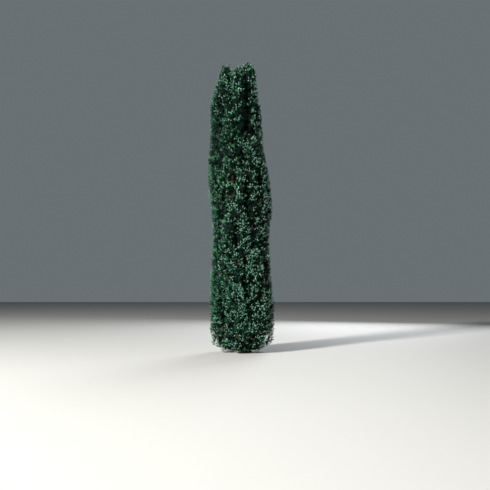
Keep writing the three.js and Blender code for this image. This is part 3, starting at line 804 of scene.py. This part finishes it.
def limb_surface(path, radii, sides, plates, lift):
    """A limb along a path, with the bark's relief standing on its radius."""
    turn = np.linspace(0, 2 * np.pi, sides, endpoint=False)[None, :]
    radius = radii[:, None] * np.ones_like(turn)
    relief = bark_relief(turn, path[:, 2:], radius, plates)
    return *tubes(path[None], (radius + lift * (relief - 0.5))[None], sides), relief.ravel()


def leader_surface(enters):
    """A leader from inside the fork to under its crest plume. It tapers evenly, and flares above
    the fork by a width that dies away by e to the minus height over the flare's run."""
    z = np.linspace(TRUNK_FORK - LEADER_SINK, CREST_FOOT - STEM_SHOW, LEADER_STATIONS)
    radii = mix(LEADER_ROOT_RADIUS, LEADER_TIP_RADIUS, np.linspace(0, 1, len(z)))
    radii = radii + LEADER_FLARE * np.exp(-np.maximum(0, z - TRUNK_FORK) / LEADER_FLARE_RUN)
    path = leader_points(enters, z)
    return limb_surface(path, radii, LEADER_SIDES, LEADER_PLATES, LEADER_PLATE_LIFT)


def bough_points(plume, share):
    """A side bough: from the trunk for the skirt, or else from the leader nearest to its foot, in
    a quadratic curve that ends under the plume in the plume's own slope."""
    foot = plume.at(np.array([float(plume.foot)]))[0]
    end = foot - UP * STEM_SHOW
    if plume.foot < TRUNK_FORK:
        part = (plume.foot - STEM_SHOW - SKIRT_BOUGH_DROP) / TRUNK_FORK
        start = np.array([*TRUNK_LEAN, TRUNK_FORK]) * part
    else:
        start_z = max(plume.foot - BOUGH_RISE, TRUNK_FORK + BOUGH_ABOVE_FORK)
        starts = np.array([leader_points(enters, np.array([start_z]))[0] for _, enters, *_ in LEADERS])
        start = starts[np.hypot(*(starts - foot)[:, :2].T).argmin()]
    radial = unit(foot * [1, 1, 0])
    along = unit(radial * plume.entry_slope + UP)
    bend = end - along * BOUGH_LAST_RUN * np.linalg.norm(end - start)
    return bezier(start, bend, end, share)


def bough_surface(plume):
    """A bough's curve, tapering from its root to its tip, plus a swelling where it leaves its parent
    that dies away by e to the minus rate times the share. It thins out inside its plume's stem."""
    share = np.linspace(0, BOUGH_END, BOUGH_STATIONS)
    swell = BOUGH_SWELL * np.exp(-share * BOUGH_SWELL_RATE)
    radii = mix(BOUGH_ROOT_RADIUS, BOUGH_TIP_RADIUS, share) + swell
    radii = radii * (1 - BOUGH_THINNING * smoothstep((share - BOUGH_THINS_FROM) / BOUGH_THINS_OVER))
    path = bough_points(plume, share)
    return limb_surface(path, radii, BOUGH_SIDES, BOUGH_PLATES, BOUGH_PLATE_LIFT)


def stem_surface(plume, limb, root_radius):
    """A plume's stem: on from its limb's last points and up the plume's axis, thinning to the top.
    Each point of its path moves to the weighed mean of itself and its neighbours, three times."""
    share = np.linspace(0, 1, STEM_STATIONS) ** STEM_CLIMB_POWER
    z = mix(plume.foot + STEM_ABOVE_FOOT, plume.tip - STEM_BELOW_TIP, share)
    path = np.concatenate([limb, plume.at(z)])
    for _ in range(STEM_SMOOTHINGS):
        path[1:-1] = (path[:-2] + 2 * path[1:-1] + path[2:]) / 4
    radii = mix(root_radius, STEM_TOP_RADIUS, np.linspace(0, 1, len(path)))
    points, faces = tubes(path[None], radii[None], STEM_SIDES)
    return points, faces, np.full(len(points), STEM_RELIEF)


put_piece("trunk_bark", trunk_surface(), TRUNK_BARK, ["trunk"])
leader_bark = joined([leader_surface(enters) for _, enters, *_ in LEADERS])
put_piece("leader_bark", leader_bark, TRUNK_BARK, ["leader_" + name for name, *_ in LEADERS])
bough_bark = joined([bough_surface(plume) for plume in SIDES])
put_piece("bough_bark", bough_bark, TRUNK_BARK, ["bough_" + plume.name for plume in SIDES])

FOLIAGE_NODES = ["foliage_" + plume.name for plume in PLUMES]
stems = []
for plume, (_, enters, *_) in zip(CRESTS, LEADERS):
    limb = leader_points(enters, CREST_FOOT - STEM_SHOW - STEM_LEADER_DROPS)
    stems.append(stem_surface(plume, limb, LEADER_TIP_RADIUS))
for plume in SIDES:
    limb = bough_points(plume, STEM_BOUGH_SHARES)
    stems.append(stem_surface(plume, limb, BOUGH_TIP_RADIUS + STEM_OVER_BOUGH))
put_piece("plume_stems", joined(stems), TRUNK_BARK, FOLIAGE_NODES)

# Twigs, branchlets and shoots


def skirt_droop(plume, z):
    """How far the foliage hangs down at a skirt plume's foot: the droop times one less the smooth
    share of its run. On the other plumes there is none."""
    if plume.foot > TRUNK_FORK:
        return 0 * z
    return SKIRT_DROOP * (1 - smoothstep((z - plume.foot) / SKIRT_DROOP_RUN))


def fold_share(points):
    """How deep points stand in the crest's fold, whose tufts sink and get painted shade: a bell of their
    distance from its middle, smooth at its foot and top, and only in front."""
    across = np.exp(-(((points[:, 0] - FOLD_X) / FOLD_WIDTH) ** 2))
    foot = smoothstep((points[:, 2] - FOLD_FOOT) / FOLD_FADE)
    top = smoothstep((FOLD_TOP - points[:, 2]) / FOLD_FADE)
    return across * foot * top * (points[:, 1] < 0)


def grow_twigs(plume):
    """Twigs climb out of a plume's stem, each a golden turn on from the last. Each one's branchlets
    stand side by side and reach sites under the skin, where a tuft of shoots grows. Tufts sink into
    the clefts between plumes and stand nearer to the axis at the tip. Gives the twigs, branchlets
    and tufts as arrays."""
    dice = np.random.default_rng(TWIG_SEED + plume.index)
    number = np.arange(int((plume.tip - TWIG_BELOW_TIP - TWIG_ABOVE_FOOT - plume.foot) / TWIG_SPACING))
    z = plume.foot + TWIG_ABOVE_FOOT + number * TWIG_SPACING
    bearing = number * GOLDEN_TURN + plume.index + TWIG_STRAY * (chance(plume.index, number) - 0.5)
    shape = (len(number), len(COLUMN_LIFTS))
    column = np.array([-1, 0, 1]) * np.ones(shape)
    aside = column * COLUMN_APART + SITE_STRAY * stray(dice, shape)
    site_z = z[:, None] + COLUMN_LIFTS + SITE_STRAY * stray(dice, shape)
    ragged = SIDE_RAGGED if plume in SIDES else CREST_RAGGED
    highest = plume.tip - TUFT_BELOW_TIP - ragged * dice.random(shape) ** RAGGED_POWER
    site_z = np.clip(site_z, plume.foot + SITE_ABOVE_FOOT, highest).ravel()
    bearings = np.repeat(bearing, shape[1])
    skin = np.maximum(LEAST_SITE_RADIUS, plume.skin(site_z, bearings))
    site_bearing = bearings + aside.ravel() / skin
    room = free_room(plume, site_z, site_bearing)
    sites = len(room)
    surface = plume.at(site_z, site_bearing, room)
    depth = crown_depth(surface)
    cleft = 1 - smoothstep(border_margin(plume, surface) / CLEFT_WIDTH)
    near_tip = 1 - smoothstep((plume.tip - site_z) / TIP_PULL_RUN)
    sunk = TUFT_SUNK * (1 + TUFT_SUNK_SPREAD * stray(dice, sites))
    fold = fold_share(surface)
    sunk = sunk + CLEFT_SINK * cleft + TIP_PULL * near_tip + FOLD_SINK * fold
    low = 1 - smoothstep(plume.climb(site_z) / plume.full_at)
    low = low * (plume in SIDES and plume.foot > TRUNK_FORK)
    roots = plume.at(site_z, site_bearing, np.maximum(LEAST_TUFT_OUT, room - sunk))
    roots[:, 2] = np.maximum(LOWEST_TUFT, roots[:, 2] - skirt_droop(plume, site_z))
    odds = np.clip((BARE_DEPTH - depth) / (BARE_DEPTH - SHOWN_DEPTH), 0, 1) * (1 - CLEFT_THINNING * cleft)
    grown = dice.random(sites) < odds

    outward = bearing_unit(site_bearing)
    around = np.cross(UP, outward)
    lean = SHOOT_LEAN * (1 - TIP_UPRIGHT * near_tip) * (1 + LEAN_SPREAD * stray(dice, sites))
    turned = TURN_SPREAD * stray(dice, sites)
    heading = unit(UP + outward * lean[:, None] + around * turned[:, None])
    length = SHOOT_LENGTH * (1 + SHOOT_SPREAD * stray(dice, sites))
    length = np.where(dice.random(sites) < WISP_SHARE, length * WISP_LENGTH, length)
    length = np.minimum(length, plume.tip - SHOOT_BELOW_TIP - site_z)
    roots = held_in(roots, roots + heading * length[:, None], outward, OUTLINE_KEEP)
    tufts = {
        "root": roots,
        "heading": heading,
        "outward": outward,
        "length": length,
        "depth": depth,
        "near_tip": near_tip,
        "shade": CLEFT_SHADE * cleft + LOW_SHADE * low,
        "fold": fold,
        "cleft": cleft,
        "plume": np.full(sites, plume.index),
    }

    ends = roots.reshape(*shape, 3)
    twig_start = plume.at(np.maximum(z - TWIG_RISE, plume.foot + TWIG_STARTS_ABOVE_FOOT))
    twig_end = mix(plume.at(z), ends[:, 1], TWIG_REACH) - UP * TWIG_END_DROP
    knee = mix(twig_start, twig_end, TWIG_KNEE_AT) - UP * TWIG_KNEE_DROP
    twigs = bezier(twig_start, knee, twig_end, np.linspace(0, 1, 3))
    leaves_at = bezier(twig_start, knee, twig_end, BRANCHLET_LEAVES_AT)
    bends = mix(leaves_at, ends, BRANCHLET_BEND_AT) - UP * BRANCHLET_BEND_DROP
    branchlets = np.stack([leaves_at, bends, ends], axis=2)
    on_twig = grown.reshape(shape)
    return {
        "twigs": twigs[on_twig.any(axis=1)],
        "branchlets": branchlets[on_twig],
        **{key: values[grown] for key, values in tufts.items()},
    }


def tuft_shoots(tufts, tints):
    """The shoots of tufts: the lead, and side shoots from the same root, each a weighed sum of the
    lead's direction, a turn aside and the way outwards, strayed by chance. They spread less near a
    plume's tip. A part of the side shoots keep their lead's tint. Gives root, heading, length and
    tint of every shoot."""
    dice = np.random.default_rng(TUFT_SEED)
    root, heading, outward, length = [tufts[key] for key in ("root", "heading", "outward", "length")]
    around = unit(np.cross(UP, outward))
    spreading = 1 - TIP_CLOSING * tufts["near_tip"][:, None]
    shoots = [(root, heading, length, tints[0])]
    for (follow, aside, out, share), own_tint in zip(SIDE_SHOOTS, tints[1:]):
        strayed = SIDE_SHOOT_STRAY * stray(dice, root.shape)
        way = unit(heading * follow + (around * aside + outward * out + strayed) * spreading)
        spread = 1 + SHOOT_SPREAD * stray(dice, len(root))
        tint = np.where(dice.random(len(root)) < SAME_TINT_SHARE, tints[0], own_tint)
        shoots.append((root, way, np.minimum(SHOOT_LENGTH, length) * share * spread, tint))
    return [np.concatenate(parts) for parts in zip(*shoots)]


def shoot_points(root, heading, length, share):
    """A shoot's curve: straight on by its length, plus an upward bend with the square of share."""
    share = share[..., None]
    length = length[:, None, None]
    return root[:, None] + length * (heading[:, None] * share + UP * SHOOT_BEND / 2 * share**2)


def needle_surface(root, heading, length, younger, count, dice):
    """Needles stand round one half of each shoot, a golden turn apart. Each splays from the shoot by
    an angle that closes towards its tip, and is a kite folded along its middle, wider near its
    root. Younger is 0 for the older half and 1 for the younger."""
    shape = (len(root), count)
    share = (younger[:, None] + (np.arange(count) + NEEDLE_FIRST_AT) / count) / 2 * np.ones(shape)
    start = shoot_points(root, heading, length, mix(BARE_SHARE, 1, share))
    along = unit(heading[:, None] + UP * SHOOT_BEND * share[..., None])
    across, beside = square_to(along)
    turn = np.arange(count) * GOLDEN_TURN + dice.random((len(root), 1)) * 2 * np.pi
    turn = turn + NEEDLE_TURN_STRAY * stray(dice, shape)
    spoke = across * np.cos(turn)[..., None] + beside * np.sin(turn)[..., None]
    splay = mix(*NEEDLE_SPLAY, share**NEEDLE_CLOSING_POWER) + NEEDLE_SPLAY_STRAY * stray(dice, shape)
    pointing = along * np.cos(splay)[..., None] + spoke * np.sin(splay)[..., None]
    wide = np.cross(along, spoke)
    upper = np.cross(pointing, wide)
    size = LEAST_SIZE + SIZE_SPREAD * dice.random(shape)
    long = NEEDLE_LENGTH * (1 - NEEDLE_SHORTER * share**3) * size
    follow = np.clip(length / SHOOT_LENGTH, SHORTEST_SHOOT, LONGEST_SHOOT)
    long = (long * follow[:, None])[..., None]
    half = NEEDLE_WIDTH / 2
    middle = start + pointing * long * NEEDLE_WIDEST_AT + upper * half * NEEDLE_FOLD
    corners = [start, middle + wide * half, start + pointing * long, middle - wide * half]
    points = np.stack(corners, axis=2).reshape(-1, 3)
    first = np.arange(0, len(points), 4)[:, None]
    faces = np.concatenate([first + [0, 1, 2], first + [0, 2, 3]])
    return points, faces


def toothed_shoot(teeth, long, wide, start, turn):
    """The two rows of teeth of one flat shoot, each a triangle on the middle line that leans towards
    the tip and is as wide as a sine along the shoot. The shoot is turned aside and moved along.
    Gives along, across and lift for each tooth's three corners."""
    pitch = long / (teeth + TOOTHLESS_END)
    rows = []
    for side in (-1, 1):
        foot = (np.arange(teeth) + (0.5 if side > 0 else 0)) * pitch
        wave = np.clip(TOOTH_WAVE[0] + TOOTH_WAVE[1] * foot / long, 0, 1)
        width = wide * np.sin(np.pi * wave)
        root = np.stack([foot, 0 * foot, 0 * foot], -1)
        back = np.stack([foot + TOOTH_BASE * pitch, 0 * foot, 0 * foot], -1)
        lift = TOOTH_LIFT * wide * (-1.0) ** np.arange(teeth)
        point = np.stack([foot + TOOTH_LEAN * wide, side * width, lift], -1)
        rows.append(np.stack([root, back, point] if side > 0 else [root, point, back], axis=1))
    along, across, lift = np.moveaxis(np.concatenate(rows), -1, 0)
    turned_along = start + along * math.cos(turn) - across * math.sin(turn)
    turned_across = along * math.sin(turn) + across * math.cos(turn)
    return np.stack([turned_along, turned_across, lift], -1)


def sprays_at(shoots, root, along, facing, size):
    """A spray of the given shoots at each root, grown along one direction and turned to face
    another."""
    across = unit(np.cross(facing, along))
    facing = np.cross(along, across)
    ways = np.stack([along, across, facing], axis=1)
    teeth = np.concatenate([toothed_shoot(*shoot) for shoot in shoots])
    points = root[:, None] + size[:, None, None] * (teeth.reshape(-1, 3) @ ways)
    points = points.reshape(-1, 3)
    return points, np.arange(len(points)).reshape(-1, 3)


def inner_sprays(plume):
    """Flat toothed sprays of old needles face outwards from inside a plume, a golden turn apart
    and sunk under its skin in two layers by turns, on stalks from its stem, so that the plume is dense
    within and dark, partly from age and partly from painted shade in their colours. Gives the sprays of
    each layer and the stalks."""
    dice = np.random.default_rng(SPRAY_SEED + plume.index)
    spray_end, shrink_from = SIDE_SPRAY_TIP if plume in SIDES else CREST_SPRAY_TIP
    number = np.arange(int((plume.tip - spray_end - plume.foot) / SPRAY_SPACING))
    sprays = []
    stalks = []
    for layer, (shoots, least, most, turned) in enumerate(SPRAY_LAYERS):
        every_other = number[layer:: len(SPRAY_LAYERS)]
        z = plume.foot + every_other * SPRAY_SPACING
        bearing = every_other * GOLDEN_TURN + SPRAY_PLUME_TURN * plume.index
        room = free_room(plume, z, bearing)
        kept = crown_depth(plume.at(z, bearing, room)) < SPRAY_DEEPEST
        z, bearing, room = z[kept], bearing[kept], room[kept]
        sunk = mix(least, most, dice.random(len(z)))
        outward = bearing_unit(bearing)
        around = np.cross(UP, outward)
        aside = SPRAY_ASIDE * stray(dice, (len(z), 1))
        along = unit(UP + SPRAY_LEAN * outward + aside * around)
        facing = unit(outward + turned * stray(dice, (len(z), 1)) * around)
        side_on = np.abs((facing * around).sum(axis=1))
        sunk = sunk + SIDE_ON_SINK * side_on
        root = plume.at(z, bearing, np.maximum(SPRAY_LEAST_SHARE * room, room - sunk))
        root[:, 2] = np.maximum(LOWEST_TUFT, root[:, 2] - skirt_droop(plume, z))
        size = LEAST_SIZE + SIZE_SPREAD * dice.random(len(z))
        size = np.minimum(1, (plume.tip - z) / shrink_from) * size
        _, long, wide, *_ = shoots[0]
        margin = OUTLINE_KEEP + wide + SIDE_ON_SINK * side_on
        root = held_in(root, root + along * long * size[:, None], outward, margin)
        sprays.append(sprays_at(shoots, root, along, facing, size))
        stem = plume.at(np.maximum(plume.foot, z - SPRAY_STALK_RISE))
        stalks.append(spikes(stem, root, SPRAY_STALK_RADIUS))
    return *sprays, joined(stalks)


def leader_sprays(number, enters):
    """Sprays of old needles, near black as painted shade, that stand on a leader's bark, a golden turn
    apart, and rise outwards.
    """
    dice = np.random.default_rng(LEADER_SPRAY_SEED + number)
    z = np.arange(LEADER_SPRAYS_FROM, CREST_FOOT, LEADER_SPRAY_SPACING)
    bearing = np.arange(len(z)) * GOLDEN_TURN + number
    outward = bearing_unit(bearing)
    root = leader_points(enters, z) + outward * LEADER_TIP_RADIUS
    along = unit(UP + outward * mix(*LEADER_SPRAY_LEAN, dice.random((len(z), 1))))
    turned = LEADER_SPRAY_TURN * stray(dice, (len(z), 1))
    facing = unit(outward + turned * np.cross(UP, outward))
    size = LEAST_SIZE + SIZE_SPREAD * dice.random(len(z))
    return sprays_at(DEEP_SPRAY, root, along, facing, size)


def tapering(paths, radii):
    """Three-sided limbs along paths, whose radius runs evenly from the first to the second."""
    share = np.linspace(0, 1, paths.shape[1])
    return tubes(paths, mix(*radii, share) * np.ones(paths.shape[:2]), BRANCH_SIDES)


grown = [grow_twigs(plume) for plume in PLUMES]
crown = {key: np.concatenate([part[key] for part in grown]) for key in grown[0]}
twigs = tapering(crown["twigs"], TWIG_RADII)
put_piece("twigs", twigs, TWIG_BARK, FOLIAGE_NODES)
branchlets = tapering(crown["branchlets"], BRANCHLET_RADII)
put_piece("branchlets", branchlets, TWIG_BARK, FOLIAGE_NODES)

near, deep, stalks = [joined(parts) for parts in zip(*[inner_sprays(plume) for plume in PLUMES])]
put_piece("inner_sprays", near, OLD_NEEDLES_IN_PAINTED_SHADE, FOLIAGE_NODES, smooth=False)
put_piece("deep_sprays", deep, PAINTED_SHADE_DEEP_NEEDLES, FOLIAGE_NODES, smooth=False)
put_piece("spray_stalks", stalks, TWIG_BARK, FOLIAGE_NODES)
sprays = joined([leader_sprays(i, enters) for i, (_, enters, *_) in enumerate(LEADERS)])
put_piece("leader_sprays", sprays, PAINTED_SHADE_DEEP_NEEDLES, FOLIAGE_NODES, smooth=False)


def tint_of(tufts, seed):
    """A tint for one shoot of each tuft. Sunk ones get the darkest tint and those in the fold the deep
    one, both as painted shade. Elsewhere a chance picks the tint, with deep ones likelier high up and on
    the right as painted shade, painted highlights likelier low down, and fresh ones on the left as
    painted light and at the tips. A few whole tufts are dry, mostly low in the clefts."""
    dice = np.random.default_rng(seed)
    x, _, z = tufts["root"].T
    pick = dice.random(len(z))
    high = np.clip(z / HEIGHT, 0, 1)
    leftness = np.clip(-x / WHOLLY_LEFT, 0, 1)
    rightness = np.clip(x / WHOLLY_RIGHT, 0, 1)
    at_tips = smoothstep((z - FRESH_TIPS_FROM) / (HEIGHT - FRESH_TIPS_FROM))
    fresh = FRESH_SHARE + (FRESH_PAINTED_LIGHT_LEFT - FRESH_PAINTED_LIGHT_LESS_HIGH * high) * leftness + FRESH_TIPS * at_tips
    grey = (PAINTED_HIGHLIGHT_SHARE - PAINTED_HIGHLIGHT_LESS_HIGH * high) * (1 - PAINTED_HIGHLIGHT_LESS_LEFT * leftness)
    tint = np.where(pick < DEEP_SHARE + DEEP_PAINTED_SHADE_HIGH * high + DEEP_PAINTED_SHADE_RIGHT * rightness, DEEP, YEW)
    tint = np.where(pick > 1 - grey, PAINTED_HIGHLIGHT, tint)
    tint = np.where(pick > 1 - fresh, FRESH, tint)
    sunk = tufts["shade"] + tufts["depth"] / BARE_DEPTH
    tint = np.where(sunk > DARKEST_FROM + DARKEST_RUN * dice.random(len(z)), PAINTED_SHADE, tint)
    painted_fold_shade = tufts["fold"] > FOLD_PAINTED_SHADE_FROM + FOLD_PAINTED_SHADE_RUN * dice.random(len(z))
    tint = np.where(painted_fold_shade, DEEP, tint)
    at_height = DRY_ELSEWHERE + np.exp(-(((z - DRY_HEIGHT) / DRY_RUN) ** 2))
    dry = DRY_SHARE * (DRY_OPEN + tufts["cleft"]) * at_height
    return np.where(chance(x, z) < dry, DRY, tint)


tints = [tint_of(crown, TINT_SEED + number) for number in range(1 + len(SIDE_SHOOTS))]
shoot_root, shoot_heading, shoot_length, shoot_tint = tuft_shoots(crown, tints)
shoot_plume = np.tile(crown["plume"], 1 + len(SIDE_SHOOTS))
# Each shoot has two halves. The younger keeps the shoot's tint. The older is yew on a painted highlight
# or fresh shoot, dry on a dry one, and at most deep on the others.
half_shoot = np.tile(np.arange(len(shoot_root)), 2)
older_tint = np.where(shoot_tint > YEW, YEW, np.minimum(shoot_tint, DEEP))
older_tint = np.where(shoot_tint == DRY, DRY, older_tint)
half_tint = np.concatenate([older_tint, shoot_tint])
younger = np.repeat([0, 1], len(shoot_root))
for kind, (name, needles, *_) in enumerate(TINTS):
    most_halves = MOST_TRIANGLES // (2 * needles)
    members = np.flatnonzero(half_tint == kind)
    members = members[np.argsort(shoot_root[half_shoot[members], 2], kind="stable")]
    parts = np.array_split(members, max(1, math.ceil(len(members) / most_halves)))
    for number, part in enumerate(parts):
        dice = np.random.default_rng(NEEDLE_SEED + 10 * kind + number)
        bearer = half_shoot[part]
        shoots = (shoot_root[bearer], shoot_heading[bearer], shoot_length[bearer], younger[part])
        surface = needle_surface(*shoots, needles, dice)
        nodes = [FOLIAGE_NODES[index] for index in np.unique(shoot_plume[bearer])]
        piece_name = "needles_" + name + "_" + "abcdef"[number]
        put_piece(piece_name, surface, NEEDLE_MATERIALS[kind], nodes, smooth=False)

stalk_end = np.full((len(shoot_root), 1), STALK_END)
shoot_ends = shoot_points(shoot_root, shoot_heading, shoot_length, stalk_end)[:, 0]
shoot_stalks = spikes(shoot_root, shoot_ends, STALK_RADIUS)
put_piece("shoot_stalks", shoot_stalks, TWIG_BARK, FOLIAGE_NODES)

# Floor, light and camera


FLOOR_HALF = 60.0
FLOOR_COLOUR = (0.22, 0.22, 0.215, 1)
FLOOR_ROUGHNESS = 0.9
# Each light: name, place, size, power and colour. All of them face the middle of the crown.
LIGHTS = [
    ("key", (-16.5, -19.0, 15.5), 3.2, 37000, (1.0, 0.98, 0.93)),
    ("fill", (9.0, -12.0, 5.0), 8, 110, (0.88, 0.95, 1.0)),
    ("back", (5.0, 13.0, 7.0), 6, 2700, (0.95, 0.97, 1.0)),
]
LIGHTS_AIM = Vector((0, 0, HEIGHT * MM / 2))
WORLD_COLOUR = (0.74, 0.86, 0.92, 1)
WORLD_STRENGTH = 0.19

PHOTO_PIXELS = 490
FOCAL_PIXELS = 673
SENSOR_WIDTH = 36
EYE_HEIGHT = 1.5
EYE_DISTANCE = 16.11
PITCH = math.radians(3.71)
TURN = math.radians(0.255)
FARTHEST_SEEN = 300


def put_stage():
    """A wide pale floor."""
    left, right = -FLOOR_HALF, FLOOR_HALF
    mesh = bpy.data.meshes.new("floor")
    corners = [(left, left, 0), (right, left, 0), (right, right, 0), (left, right, 0)]
    mesh.from_pydata(corners, [], [(0, 1, 2, 3)])
    material = bpy.data.materials.new("pale floor")
    material.use_nodes = True
    finish = {"Base Color": FLOOR_COLOUR, "Roughness": FLOOR_ROUGHNESS}
    fill(material.node_tree.nodes["Principled BSDF"], finish)
    mesh.materials.append(material)
    floor = bpy.data.objects.new("floor", mesh)
    bpy.context.scene.collection.objects.link(floor)


def put_light(name, place, size, power, colour):
    """A square area light that faces the middle of the crown."""
    light = bpy.data.lights.new(name, "AREA")
    light.size = size
    light.energy = power
    light.color = colour
    holder = bpy.data.objects.new(name, light)
    holder.location = place
    holder.rotation_euler = (LIGHTS_AIM - Vector(place)).to_track_quat("-Z", "Y").to_euler()
    bpy.context.scene.collection.objects.link(holder)


def put_world():
    """An even light from all sides."""
    world = bpy.data.worlds.new("studio")
    world.use_nodes = True
    fill(world.node_tree.nodes["Background"], {"Color": WORLD_COLOUR, "Strength": WORLD_STRENGTH})
    bpy.context.scene.world = world


def put_camera():
    """The photograph's view: from eye height, pitched slightly up."""
    data = bpy.data.cameras.new("photo view")
    data.sensor_fit = "HORIZONTAL"
    data.sensor_width = SENSOR_WIDTH
    data.lens = SENSOR_WIDTH * FOCAL_PIXELS / PHOTO_PIXELS
    data.clip_end = FARTHEST_SEEN
    camera = bpy.data.objects.new("photo view", data)
    camera.location = (0, -EYE_DISTANCE, EYE_HEIGHT)
    camera.rotation_euler = (math.pi / 2 + PITCH, 0, -TURN)
    bpy.context.scene.collection.objects.link(camera)
    bpy.context.scene.camera = camera


put_stage()
for light in LIGHTS:
    put_light(*light)
put_world()
bpy.context.scene.view_settings.view_transform = "Standard"
put_camera()
